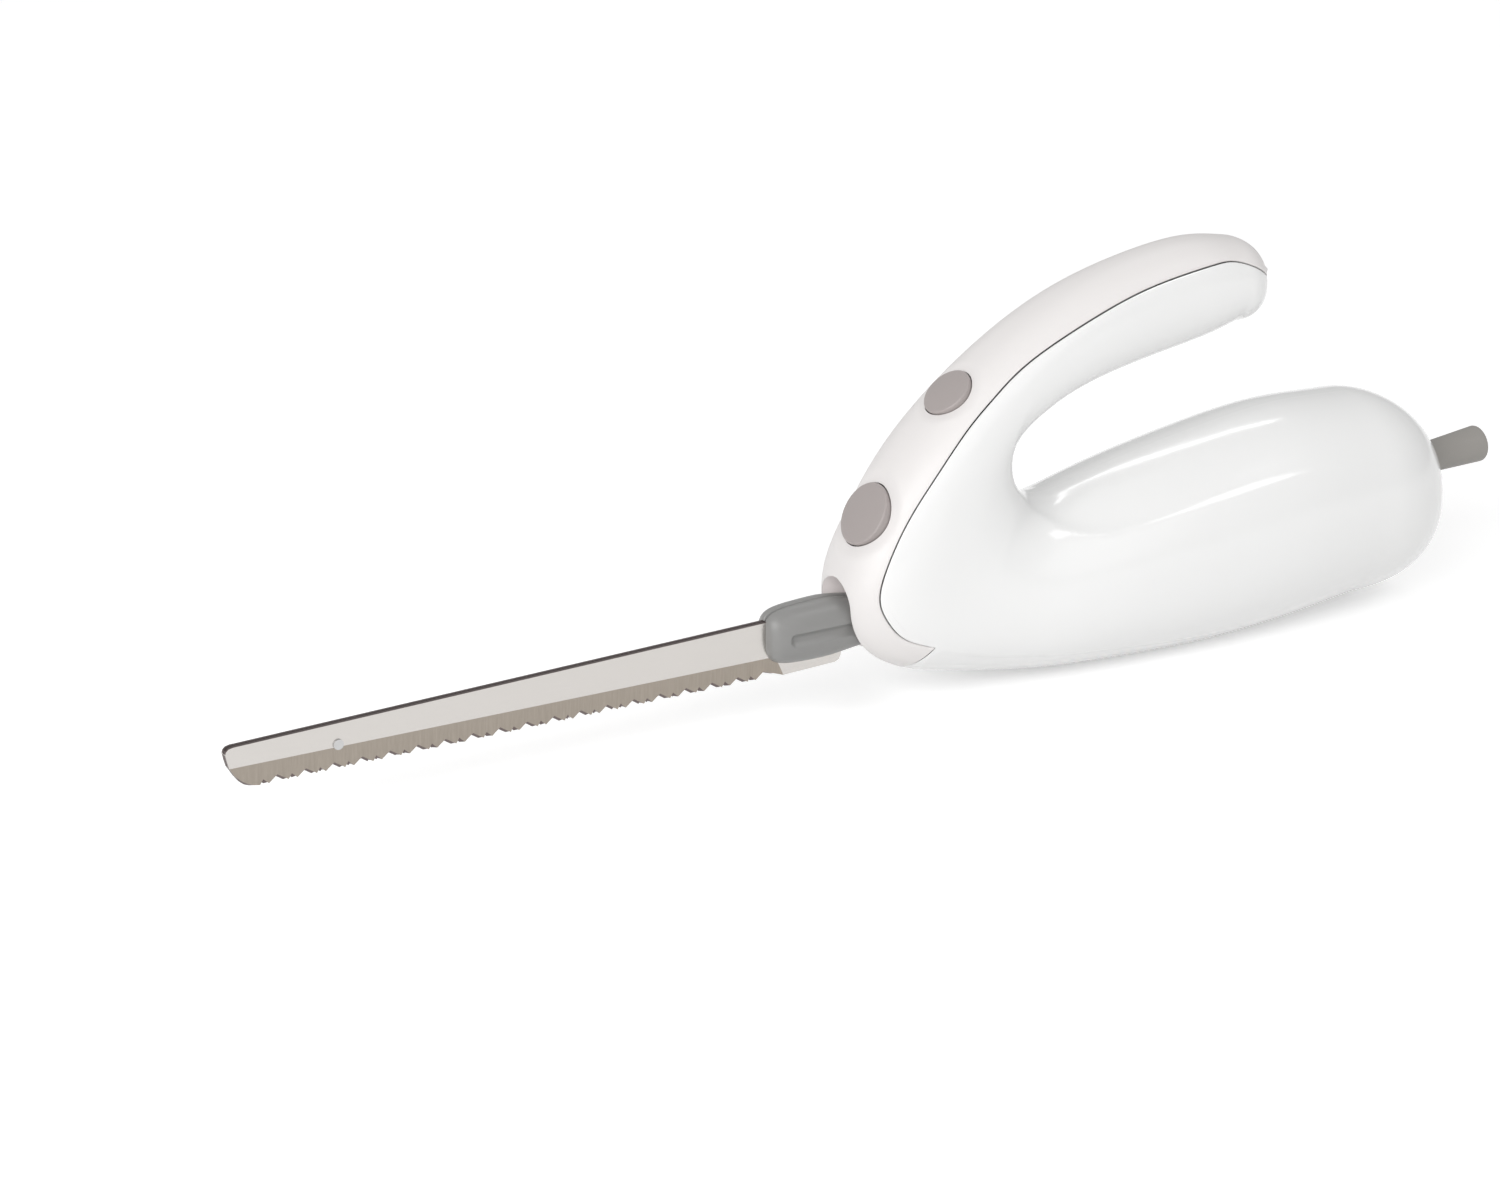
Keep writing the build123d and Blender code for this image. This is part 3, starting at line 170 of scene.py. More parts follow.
def noise(nodes, links, mapping, scale, detail=3.0, roughness=0.5, stretch=None):
    """A noise texture on the mapped object coordinates; stretch squeezes it along each axis."""
    source = mapping.outputs["Vector"]
    if stretch is not None:
        squeeze = nodes.new("ShaderNodeMapping")
        squeeze.inputs["Scale"].default_value = stretch
        links.new(source, squeeze.inputs["Vector"])
        source = squeeze.outputs["Vector"]
    texture = nodes.new("ShaderNodeTexNoise")
    texture.inputs["Scale"].default_value = scale
    texture.inputs["Detail"].default_value = detail
    texture.inputs["Roughness"].default_value = roughness
    links.new(source, texture.inputs["Vector"])
    return texture.outputs["Fac"]


def spread(nodes, links, value, low, high):
    """Maps a 0 to 1 value to a range."""
    remap = nodes.new("ShaderNodeMapRange")
    remap.inputs["To Min"].default_value = low
    remap.inputs["To Max"].default_value = high
    links.new(value, remap.inputs["Value"])
    return remap.outputs["Result"]


def two_tone(nodes, links, value, first, second):
    """A colour between two tones, by a 0 to 1 value."""
    mix = nodes.new("ShaderNodeMix")
    mix.data_type = "RGBA"
    mix.inputs["A"].default_value = (*first, 1.0)
    mix.inputs["B"].default_value = (*second, 1.0)
    links.new(value, mix.inputs["Factor"])
    return mix.outputs["Result"]


def bump(nodes, links, shader, height, distance, strength=1.0):
    """Bump of a given height in metres on the shader's normal."""
    node = nodes.new("ShaderNodeBump")
    node.inputs["Distance"].default_value = distance
    node.inputs["Strength"].default_value = strength
    links.new(height, node.inputs["Height"])
    links.new(node.outputs["Normal"], shader.inputs["Normal"])


def moulded(name, colour, rough, grain=1500.0, depth=0.00002, vary=0.02, coat=0.0):
    """Moulded plastic: slight cloudiness in colour and gloss, and the grain of the mould as bump."""
    material, nodes, links, shader, mapping = new_material(name)
    cloud = noise(nodes, links, mapping, 35.0, 4.0)
    dark = tuple(c * (1 - vary) for c in colour)
    light = tuple(min(1.0, c * (1 + vary)) for c in colour)
    links.new(two_tone(nodes, links, cloud, dark, light), shader.inputs["Base Color"])
    fine = noise(nodes, links, mapping, 160.0, 5.0)
    links.new(spread(nodes, links, fine, rough * 0.88, rough * 1.12), shader.inputs["Roughness"])
    bump(nodes, links, shader, noise(nodes, links, mapping, grain, 2.0), depth)
    shader.inputs["IOR"].default_value = 1.5
    if coat:
        shader.inputs["Coat Weight"].default_value = coat
        shader.inputs["Coat Roughness"].default_value = 0.08
    return material


def metal(name, colour, rough, stretch=(1, 1, 1), scale=900.0, depth=0.000006, vary=0.05):
    """Bare metal with fine tool marks: noise drawn out along one axis, in gloss, tone and bump."""
    material, nodes, links, shader, mapping = new_material(name)
    marks = noise(nodes, links, mapping, scale, 6.0, 0.65, stretch)
    dark = tuple(c * (1 - vary) for c in colour)
    light = tuple(min(1.0, c * (1 + vary)) for c in colour)
    links.new(two_tone(nodes, links, marks, dark, light), shader.inputs["Base Color"])
    links.new(spread(nodes, links, marks, rough * 0.75, rough * 1.25), shader.inputs["Roughness"])
    shader.inputs["Metallic"].default_value = 1.0
    bump(nodes, links, shader, marks, depth)
    return material


white_shell = moulded(
    "white_gloss_shell", (0.86, 0.86, 0.855), 0.16, grain=260.0, depth=0.00001, vary=0.008, coat=0.35,
)
cream_cover = moulded(
    "cream_satin_cover", (0.80, 0.775, 0.765), 0.42, grain=2600.0, depth=0.000012, vary=0.012,
)
# The lining's pale pink tint is its own; its brightness above the cover's cream is painted light that lifts
# the shade inside the mouth.
lining_cream_with_painted_light = moulded(
    "cream_satin_lining_painted_light", (0.94, 0.875, 0.865), 0.45, grain=2600.0, depth=0.000012, vary=0.012,
)
button_grey = moulded("grey_button_plastic", (0.385, 0.345, 0.335), 0.40, grain=2200.0, depth=0.00002)
guard_grey = moulded("grey_guard_plastic", (0.265, 0.263, 0.257), 0.34, grain=1800.0, depth=0.00002)
sleeve_grey = moulded("grey_sleeve_rubber", (0.315, 0.30, 0.28), 0.55, grain=1600.0, depth=0.00003)
black_plastic = moulded("black_inner_plastic", (0.03, 0.03, 0.032), 0.45)
nylon = moulded("natural_nylon", (0.74, 0.72, 0.64), 0.40, grain=1200.0)
film = moulded("amber_capacitor_film", (0.55, 0.30, 0.04), 0.2)
carbon = moulded("pressed_carbon", (0.02, 0.02, 0.02), 0.6, grain=3000.0, depth=0.00004)
fan_plastic = moulded("blue_grey_fan_plastic", (0.10, 0.13, 0.17), 0.4)
blade_flat = metal("blade_steel_flat", (0.61, 0.585, 0.56), 0.24, stretch=(0.04, 1, 1), scale=1500.0)
blade_ground = metal(
    "blade_steel_ground", (0.345, 0.305, 0.262), 0.36, stretch=(1, 1, 0.03), scale=1500.0,
    depth=0.00002, vary=0.22,
)
blade_edge = metal("blade_steel_edge", (0.15, 0.12, 0.115), 0.40, stretch=(0.05, 1, 1))
polished = metal("polished_rivet_steel", (0.80, 0.80, 0.79), 0.12)
spring_wire = metal("spring_wire_steel", (0.55, 0.55, 0.55), 0.3)
ground_steel = metal("ground_shaft_steel", (0.58, 0.58, 0.58), 0.22, stretch=(0.05, 1, 1))
bronze = metal("sintered_bronze", (0.60, 0.42, 0.22), 0.45)
copper = metal("enamelled_copper", (0.62, 0.26, 0.12), 0.25, stretch=(0.1, 1, 1), scale=700.0, depth=0.00005)
laminations = metal(
    "laminated_core_steel", (0.22, 0.23, 0.25), 0.5, stretch=(1, 0.02, 0.02), scale=1500.0, depth=0.00004,
)
brass = metal("brass_fittings", (0.70, 0.52, 0.24), 0.3)

# Housing surface
# Stations along the C, in millimetres: inner x, z; outer x, z; half width; fullness inside, outside.
LENGTH, HEIGHT, HALF_WIDTH, WALL = 226.0, 132.0, 33.0, 2.3
STATIONS = np.array([
    (0.058, 0.779, 0.055, 0.985, 0.412, 2.1, 2.2),
    (0.013, 0.756, -0.013, 0.998, 0.430, 2.1, 2.3),
    (-0.053, 0.738, -0.106, 0.979, 0.439, 2.2, 2.3),
    (-0.124, 0.720, -0.199, 0.936, 0.455, 2.3, 2.4),
    (-0.192, 0.697, -0.283, 0.870, 0.470, 2.4, 2.5),
    (-0.252, 0.663, -0.363, 0.780, 0.494, 2.5, 2.5),
    (-0.296, 0.614, -0.433, 0.679, 0.524, 2.6, 2.5),
    (-0.313, 0.561, -0.493, 0.568, 0.555, 2.7, 2.5),
    (-0.308, 0.509, -0.542, 0.442, 0.576, 2.7, 2.6),
    (-0.293, 0.468, -0.577, 0.303, 0.600, 2.7, 2.7),
    (-0.276, 0.444, -0.558, 0.163, 0.630, 2.6, 2.8),
    (-0.254, 0.434, -0.480, 0.079, 0.676, 2.5, 2.8),
    (-0.224, 0.436, -0.389, 0.042, 0.736, 2.4, 2.6),
    (-0.174, 0.456, -0.288, 0.014, 0.827, 2.3, 2.5),
    (-0.093, 0.487, -0.155, -0.002, 0.924, 2.2, 2.4),
    (0.022, 0.520, 0.000, -0.008, 0.988, 2.2, 2.3),
    (0.142, 0.543, 0.133, 0.005, 1.000, 2.2, 2.2),
    (0.252, 0.537, 0.252, 0.026, 0.955, 2.2, 2.1),
]) * np.array([LENGTH, HEIGHT, LENGTH, HEIGHT, HALF_WIDTH, 1, 1])
LAST = len(STATIONS) - 1
HANDLE_END = (np.array([0.985, -0.17]), 12.4, 2.3, 0.8)
TAIL_END = (np.array([1.0, 0.0]), 38.2, 2.35, -4.0)


def natural_spline(values):
    """The natural cubic spline through equally spaced rows, as a function of the row number."""
    values = np.asarray(values, float)
    count = len(values)
    matrix = np.eye(count)
    right = np.zeros_like(values)
    inner = np.arange(1, count - 1)
    matrix[inner, inner] = 4.0
    matrix[inner, inner - 1] = 1.0
    matrix[inner, inner + 1] = 1.0
    right[inner] = 6.0 * (values[inner - 1] - 2.0 * values[inner] + values[inner + 1])
    bend = np.linalg.solve(matrix, right)

    def at(place):
        place = np.asarray(place, float)
        low = np.clip(np.floor(place).astype(int), 0, count - 2)
        part = (place - low)[..., None]
        rest = 1.0 - part
        return (
            values[low] * rest
            + values[low + 1] * part
            + ((rest**3 - rest) * bend[low] + (part**3 - part) * bend[low + 1]) / 6.0
        )

    return at


STATION_AT = natural_spline(STATIONS)


def end_of(row, facts, share):
    """A station shrunk towards a rounded end, for shares 0 to 1 of a quarter turn of a superellipse."""
    direction, reach, fullness, lift = facts
    angle = share * np.pi / 2
    scale = np.maximum(np.cos(angle), 1e-16) ** (2 / fullness)
    along = np.sin(angle) ** (2 / fullness)
    middle = (row[0:2] + row[2:4]) / 2
    centre = middle + direction * reach * along[:, None] + np.array([0.0, lift]) * (along**2)[:, None]
    rows = np.empty((len(share), 7))
    rows[:, 0:2] = centre + (row[0:2] - middle) * scale[:, None]
    rows[:, 2:4] = centre + (row[2:4] - middle) * scale[:, None]
    rows[:, 4] = row[4] * scale
    rows[:, 5:7] = row[5:7]
    return rows


def station_rows(place):
    """Station values at places along the C: -1 to 0 is the handle's end, then the stations, then the tail."""
    place = np.asarray(place, float)
    rows = STATION_AT(np.clip(place, 0, LAST))
    before = place < 0
    after = place > LAST
    if before.any():
        rows[before] = end_of(STATIONS[0], HANDLE_END, np.clip(-place[before], 0, 1))
    if after.any():
        rows[after] = end_of(STATIONS[-1], TAIL_END, np.clip(place[after] - LAST, 0, 1))
    return rows


def skin(place, angle, inset=0.0):
    """Left half of the housing: at each place a superellipse from the inner edge (angle 0) to the outer (pi).

    Across the section the depth goes with the signed power 2/fullness of the cosine, and the half width
    with that power of the sine. inset moves the edges towards each other and narrows the section.
    """
    place, angle, inset = np.broadcast_arrays(place, angle, inset)
    shape = place.shape
    rows = station_rows(place.reshape(-1))
    angle = angle.reshape(-1)
    inset = inset.reshape(-1)
    inner, outer, width = rows[:, 0:2], rows[:, 2:4], rows[:, 4]
    across = outer - inner
    across = across / np.maximum(np.linalg.norm(across, axis=1), 1e-9)[:, None]
    inner = inner + across * inset[:, None]
    outer = outer - across * inset[:, None]
    width = np.maximum(width - inset, 0.0)
    cosine = np.cos(angle)
    power = 2.0 / np.where(cosine > 0, rows[:, 5], rows[:, 6])
    share = (1.0 - np.sign(cosine) * np.abs(cosine) ** power) / 2.0
    spot = inner + (outer - inner) * share[:, None]
    y = -width * np.abs(np.sin(angle)) ** power
    return np.stack([spot[:, 0], y, np.maximum(spot[:, 1], 0.0)], axis=1).reshape(shape + (3,))


# Seam between the cover and the shells
SEAM = np.array([
    (0.133, 0.842), (0.1105, 0.8721), (0.080, 0.917), (0.040, 0.948), (0.000, 0.952), (-0.075, 0.936),
    (-0.173, 0.896), (-0.292, 0.814), (-0.362, 0.735), (-0.411, 0.662), (-0.462, 0.564),
    (-0.505, 0.464), (-0.536, 0.364), (-0.546, 0.293), (-0.538, 0.246), (-0.523, 0.208),
    (-0.501, 0.180), (-0.467, 0.158),
]) * np.array([LENGTH, HEIGHT])
SEAM_UNDER = np.array([-0.507 * LENGTH, 0.068 * HEIGHT])
seam_line = natural_spline(SEAM)(np.linspace(0, len(SEAM) - 1, 400))
CORNER = SEAM[-1]
cover_outline = np.vstack([
    seam_line,
    SEAM_UNDER,
    [-0.7 * LENGTH, -0.1 * HEIGHT],
    [-0.7 * LENGTH, 1.2 * HEIGHT],
    [0.3 * LENGTH, 1.2 * HEIGHT],
])


def in_cover(points):
    """Whether x, z points lie in the cover's side outline, by counting crossings of its edges."""
    x, z = points[..., 0, None], points[..., 2, None]
    first = cover_outline
    second = np.roll(cover_outline, -1, axis=0)
    spans = (first[:, 1] > z) != (second[:, 1] > z)
    rise = second[:, 1] - first[:, 1]
    rise = np.where(np.abs(rise) < 1e-12, 1e-12, rise)
    crossing = first[:, 0] + (z - first[:, 1]) / rise * (second[:, 0] - first[:, 0])
    return (np.sum(spans & (x < crossing), axis=-1) % 2) == 1


POLE_SAFE, HALVINGS = -0.985, 30


def seam_angle(place):
    """The angle at which each section crosses the seam: halving between the inner edge and the outer."""
    place = np.maximum(place, POLE_SAFE)
    low = np.zeros_like(place)
    high = np.full_like(place, np.pi)
    inside_at_start = in_cover(skin(place, low + 1e-4))
    for _ in range(24):
        middle = (low + high) / 2
        inside = in_cover(skin(place, middle))
        high = np.where(inside, middle, high)
        low = np.where(inside, low, middle)
    return np.where(inside_at_start, 0.0, (low + high) / 2)


def cut_place(angle, low, high):
    """The place along the C where the cover's straight lower end crosses the surface at each angle."""
    direction = SEAM_UNDER - CORNER
    normal = np.array([direction[1], -direction[0]]) / np.linalg.norm(direction)
    low = np.full_like(angle, low)
    high = np.full_like(angle, high)

    def side(place):
        point = skin(place, angle)
        return (point[:, 0] - CORNER[0]) * normal[0] + (point[:, 2] - CORNER[1]) * normal[1]

    start = side(low)
    for _ in range(HALVINGS):
        middle = (low + high) / 2
        same = np.sign(side(middle)) == np.sign(start)
        low = np.where(same, middle, low)
        high = np.where(same, high, middle)
    return (low + high) / 2


# The section that runs through the seam's corner, and the angle of the corner on it
trial = np.linspace(9.0, 12.0, 601)
trial_angle = seam_angle(trial)
gap = np.linalg.norm(skin(trial, trial_angle)[:, [0, 2]] - CORNER, axis=1)
corner_place = trial[np.argmin(gap)]
corner_angle = trial_angle[np.argmin(gap)]

# Lines on the body's side, in side view, below which or above which the wall steps inwards: x, z, depth
SCOOP = np.array([
    (-66.0, 96.0, 0.0), (-72.5, 89.0, 0.6), (-75.6, 80.0, 1.3), (-74.5, 71.0, 1.8), (-70.5, 62.5, 2.3),
    (-64.5, 55.5, 2.7), (-57.0, 50.8, 2.8), (-47.5, 48.6, 2.6), (-36.0, 49.2, 2.3), (-20.0, 51.6, 2.0),
    (0.0, 54.8, 1.8), (20.0, 57.0, 1.6), (40.0, 58.0, 1.2), (60.0, 57.5, 0.6), (80.0, 55.5, 0.0),
])
BELLY = np.array([
    (-104.0, 20.0, 0.0), (-101.3, 18.7, 0.3), (-91.4, 16.0, 0.6), (-80.5, 13.6, 0.7), (-68.3, 11.8, 0.7),
    (-57.3, 10.7, 0.7), (-36.0, 9.2, 0.6), (-16.4, 7.4, 0.5), (5.8, 6.0, 0.4), (19.4, 5.4, 0.3),
    (45.0, 5.2, 0.0),
])
SCOOP_SLOPE, BELLY_SLOPE = 2.6, 0.5
STEP_REACH, STEP_FADE = 26.0, 10.0


def step_in(points, rows, slope, beyond):
    """Moves the side surface inwards beyond a line, which is given by its x, z and depth.

    The depth grows with the distance d from the line as 1 - exp(-d / slope), fades out past the
    reach, and stays within the half width. beyond is 1 for the side to the left of the line's
    direction and -1 for the right.
    """
    line = natural_spline(rows)(np.linspace(0, len(rows) - 1, 300))
    along = np.gradient(line[:, :2], axis=0)
    along = along / np.linalg.norm(along, axis=1)[:, None]
    flat = points[..., [0, 2]].reshape(-1, 2)
    low, high = rows[:, :2].min(axis=0), rows[:, :2].max(axis=0)
    near = (flat[:, 0] > low[0] - 2) & (flat[:, 0] < high[0] + 2)
    near &= (flat[:, 1] > low[1] - 20) & (flat[:, 1] < high[1] + 20)
    spots = flat[near]
    offset = spots[:, None, :] - line[None, :, :2]
    nearest = np.argmin((offset**2).sum(axis=2), axis=1)
    step = offset[np.arange(len(spots)), nearest]
    tangent = along[nearest]
    distance = beyond * (tangent[:, 0] * step[:, 1] - tangent[:, 1] * step[:, 0])
    moved = np.zeros(len(flat))
    depth = np.maximum(line[nearest, 2], 0.0) * (1 - np.exp(-np.maximum(distance, 0.0) / slope))
    moved[near] = depth * np.clip((STEP_REACH + STEP_FADE - distance) / STEP_FADE, 0, 1)
    moved = moved.reshape(points.shape[:-1])
    out = points.copy()
    room = np.abs(points[..., 1])
    out[..., 1] = np.sign(points[..., 1]) * (room - moved * np.clip(room / 8.0, 0, 1))
    return out


# Rounded rims: distance from the edge and depth below the surface, both in millimetres
RIM = np.array([(0.20, 0.60), (0.22, 0.30), (0.34, 0.10), (0.60, 0.02), (1.00, 0.0)])
END_ROWS, CUT_GAP, SHELL_SHARP, RIM_FADE = 60, 0.014, 40, 0.03
CUT_SEARCH, FAN_ROWS, DISH_SINK = 1.2, 16, (0.7, 1.1)


def rim_columns(place, edge_angle, towards):
    """Angles and insets of the rounded rim at an edge, going away from it in the direction towards."""
    step = 0.004
    speed = np.linalg.norm(skin(place, edge_angle + towards * step) - skin(place, edge_angle), axis=1) / step
    widest = 0.3 * np.where(towards > 0, np.pi - edge_angle, edge_angle)
    reach = np.minimum(1.0 / np.maximum(speed, 0.1), widest / RIM[-1, 0])
    angles = edge_angle[:, None] + towards * RIM[None, :, 0] * reach[:, None]
    fade = np.clip((corner_place - place) / RIM_FADE, 0.0, 1.0)
    insets = RIM[None, :, 1] * (np.minimum(1.0, reach * speed) * fade)[:, None]
    return angles, insets


POWER_CENTRE = np.array([-0.402 * LENGTH, 0.0, 0.729 * HEIGHT])
POWER_OUT = np.array([-0.647, 0.0, 0.763])
EJECT_CENTRE = np.array([-0.534 * LENGTH, 0.0, 0.470 * HEIGHT])
EJECT_OUT = np.array([-0.854, 0.0, 0.52])
POWER_RADIUS, EJECT_RADIUS, CLEARANCE = 8.3, 10.2, 0.3
MOUTH_HALF, MOUTH_TOP, LINING, LINING_FOOT, CUT_DEPTH = 8.5, 42.6, 1.5, 13.0, 9


def dish(points, centre, out, radius, reach, depth):
    """Sinks the surface round a button: full depth at its rim, fading smoothly to nothing at the reach."""
    out = out / np.linalg.norm(out)
    offset = points - centre
    along = offset @ out
    away_from_axis = np.linalg.norm(offset - along[..., None] * out, axis=-1)
    fade = np.clip((reach - away_from_axis) / (reach - radius), 0.0, 1.0)
    fade = fade * fade * (3 - 2 * fade)
    fade = np.where(along > -12.0, fade, 0.0)
    return points - (depth * fade)[..., None] * out


def front_places(count):
    """Places along the C from the pole of the handle's end, closer together there, to the seam's corner."""
    end = -(np.linspace(1, 0, END_ROWS, endpoint=False) ** 0.7)
    return np.concatenate([end, np.linspace(0.0, corner_place, count)])


def shade(obj):
    """Shades a housing piece smooth but for its sharp edges."""
    obj.data.polygons.foreach_set("use_smooth", np.ones(len(obj.data.polygons), bool))
    obj.data.set_sharp_from_angle(angle=math.radians(SHELL_SHARP))


def cover_piece():
    """The cover: rows along the C from the handle's end to the cut under the nose, columns from the left seam
    over the outer edge to the right seam, as a sheet that gets its wall afterwards."""
    columns = 52
    place = front_places(250)
    edge = seam_angle(place)
    rim_angle, rim_inset = rim_columns(place, edge, 1.0)
    share = np.linspace(0, 1, columns + 1)[1:]
    angles = rim_angle[:, -1:] + (np.pi - rim_angle[:, -1:]) * share
    angles = np.hstack([rim_angle, angles])
    insets = np.hstack([rim_inset, np.zeros((len(place), columns))])
    main = skin(place[:, None] + 0 * angles, angles, insets)
    # The last rows fan out from the corner to the straight cut
    final_angles = angles[-1]
    cut_at = cut_place(final_angles, corner_place - CUT_SEARCH, corner_place + CUT_SEARCH)
    blend = np.linspace(0, 1, FAN_ROWS + 1)[1:, None]
    target = np.maximum(cut_at - CUT_GAP, corner_place)[None]
    fan_place = corner_place + (target - corner_place) * blend
    fan = skin(fan_place, final_angles[None] + 0 * fan_place, insets[-1][None] + 0 * fan_place)
    fade = np.clip((final_angles - corner_angle) / 0.15, 0, 1)
    last = skin(fan_place[-1] + 0.006 * fade, final_angles, 0.25 * fade)
    left = np.concatenate([main, fan, last[None]])
    left = dish(left, POWER_CENTRE, POWER_OUT, POWER_RADIUS, POWER_RADIUS + 4.0, DISH_SINK[0])
    left = dish(left, EJECT_CENTRE, EJECT_OUT, EJECT_RADIUS, EJECT_RADIUS + 5.0, DISH_SINK[1])
    right = left[:, ::-1][:, 1:] * np.array([1, -1, 1])
    both = np.concatenate([left, right], axis=1)
    faces = grid_faces(both.shape[0], both.shape[1])
    return add_piece("cover_skin", both.reshape(-1, 3), faces, [cream_cover], sharp=None)


def shell_piece(name, mirror):
    """One half shell: rows along the C with columns from the finger gap to the seam, then the lobe whole."""
    place = front_places(210)
    edge = seam_angle(place)
    upper = 40
    rim_angle, rim_inset = rim_columns(place, edge, -1.0)
    rim_angle = np.maximum(rim_angle, 0.0)
    share = np.linspace(0, 1, upper + 1)[:-1]
    low = rim_angle[:, -1:] * share
    angles = np.hstack([low, rim_angle[:, ::-1]])
    insets = np.hstack([np.zeros_like(low), rim_inset[:, ::-1]])
    front = skin(place[:, None] + 0 * angles, angles, insets)
    # Motor lobe: the same angles, then on round to the belly
    lower = 30
    more = corner_angle + (np.pi - corner_angle) * np.linspace(0, 1, lower + 1)[1:]
    lobe_angles = np.concatenate([angles[-1], more])
    lobe_insets = np.concatenate([insets[-1], np.zeros(lower)])
    start = np.full(len(lobe_angles), corner_place)
    start[len(angles[-1]):] = cut_place(more, corner_place - CUT_SEARCH, corner_place + CUT_SEARCH) + CUT_GAP
    tail = LAST + 1.0
    rows = np.concatenate([
        np.linspace(0.0, 1.0, 150)[:-1] * (LAST - corner_place) / (tail - corner_place),
        1.0 - (1.0 - np.linspace(0, 1, 40) ** 0.75) * (tail - LAST) / (tail - corner_place),
    ])
    lobe_place = start[None] + (tail - start)[None] * rows[:, None]
    fade = np.clip(1.0 - rows / 0.004, 0, 1)[:, None]
    rim_here = np.concatenate([np.zeros(len(angles[-1])), 0.3 * np.clip((more - corner_angle) / 0.2, 0, 1)])
    lobe_inset = lobe_insets[None] * fade + rim_here[None] * fade
    lobe = skin(lobe_place, lobe_angles[None] + 0 * lobe_place, lobe_inset)
    front = step_in(front, SCOOP, SCOOP_SLOPE, 1)
    lobe = step_in(step_in(lobe, SCOOP, SCOOP_SLOPE, 1), BELLY, BELLY_SLOPE, -1)
    side = np.array([1, -1, 1]) if mirror else np.array([1, 1, 1])
    front = front * side
    lobe = lobe * side
    points = np.concatenate([front.reshape(-1, 3), lobe.reshape(-1, 3)])
    faces = np.concatenate([
        grid_faces(front.shape[0], front.shape[1]),
        grid_faces(lobe.shape[0], lobe.shape[1], start=front.shape[0] * front.shape[1]),
    ])
    if mirror:
        faces = faces[:, ::-1]
    return add_piece(name, points, faces, [white_shell], sharp=None)


def give_wall(obj, thickness):
    """Merges the sheet's coincident vertices and thickens it inwards to a closed wall."""
    work = bmesh.new()
    work.from_mesh(obj.data)
    bmesh.ops.remove_doubles(work, verts=work.verts, dist=2e-6)
    bmesh.ops.dissolve_degenerate(work, dist=1e-6, edges=work.edges)
    bmesh.ops.recalc_face_normals(work, faces=work.faces)
    work.to_mesh(obj.data)
    work.free()
    wall = obj.modifiers.new("wall", "SOLIDIFY")
    wall.thickness = thickness * MM
    wall.offset = -1.0
    wall.use_even_offset = False
    apply_modifiers(obj)


def cutter(name, rings):
    """A body that only cuts."""
    return ring_piece(name, rings, [])


def button_cutter(centre, out, radius):
    """A cylinder through the wall at a button."""
    side = np.cross(out, [0, 1, 0])
    return cutter("button_cutter", turned([(-CUT_DEPTH, radius), (CUT_DEPTH, radius)], centre, out, side))


def mouth_rings():
    """The mouth's arch: straight sides and a round top, carried along X."""
    half_width, top = MOUTH_HALF, MOUTH_TOP
    angle = np.linspace(0, np.pi, 65)
    y = np.concatenate([half_width * np.cos(angle), [-half_width, half_width]])
    z = np.concatenate([top - half_width + half_width * np.sin(angle), [-2.0, -2.0]])
    rings = []
    for x in (-112.0, -150.0):
        rings.append(np.stack([np.full_like(y, x), y, z], axis=1))
    return np.array(rings)


def mouth_lining():
    """The mouth's lining: the arch carried inwards from the nose, and cut to the nose's own form."""
    angle = np.linspace(0, np.pi, 41)
    rings = []
    for x in (-114.0, -135.0):
        outline = []
        for half_width, order in ((MOUTH_HALF - 0.04, 1), (MOUTH_HALF + LINING, -1)):
            y = np.concatenate([[half_width], half_width * np.cos(angle), [-half_width]])
            arch = MOUTH_TOP - MOUTH_HALF + half_width * np.sin(angle)
            z = np.concatenate([[LINING_FOOT], arch, [LINING_FOOT]])
            outline.append(np.stack([np.full_like(y, x), y, z], axis=1)[::order])
        rings.append(np.concatenate(outline))
    lining = ring_piece("mouth_lining", np.array(rings), [lining_cream_with_painted_light])
    place = np.linspace(7.6, 13.4, 90)
    angle = np.concatenate([np.linspace(0, np.pi, 60), np.linspace(np.pi, 2 * np.pi, 60)[1:-1]])
    folded = np.where(angle > np.pi, 2 * np.pi - angle, angle)
    nose = skin(place[:, None] + 0 * angle, folded + 0 * place[:, None], 0.15)
    nose[:, angle > np.pi, 1] *= -1
    combine(lining, "INTERSECT", [ring_piece("nose_form", nose, [])])
    return lining


cover = cover_piece()
give_wall(cover, WALL)
combine(cover, "DIFFERENCE", [
    button_cutter(POWER_CENTRE, POWER_OUT, POWER_RADIUS + CLEARANCE),
    button_cutter(EJECT_CENTRE, EJECT_OUT, EJECT_RADIUS + CLEARANCE),
    cutter("mouth_cutter", mouth_rings()),
])
lining = mouth_lining()
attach(lining, "housing")
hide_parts("top_cover")
shade(cover)
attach(cover, "housing")
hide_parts("top_cover")

for shell_name, node, mirror in (
    ("left_shell_skin", "left_housing_shell", False),
    ("right_shell_skin", "right_housing_shell", True),
):
    shell = shell_piece(shell_name, mirror)
    give_wall(shell, WALL)
    shade(shell)
    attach(shell, "housing")
    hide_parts(node)


# Blades
EDGE_FRONT, EDGE_REAR = (-324.8, 15.95), (-153.5, 14.75)
BEVEL_FRONT, BEVEL_REAR = (-330.0, 23.1), (-156.0, 21.3)
TOOTH_PITCH, TOOTH_DEPTH, FIRST_GULLET, FAR_SHIFT = 9.0, 2.3, -317.9, 0.9
BLADE_INNER, BLADE_OUTER, EDGE_THICKNESS, EDGE_SLANT = 0.15, 1.35, 0.75, 1.5


def edge_line(x):
    """Height of the line through the tooth tips."""
    return np.interp(x, [EDGE_FRONT[0], EDGE_REAR[0]], [EDGE_FRONT[1], EDGE_REAR[1]])


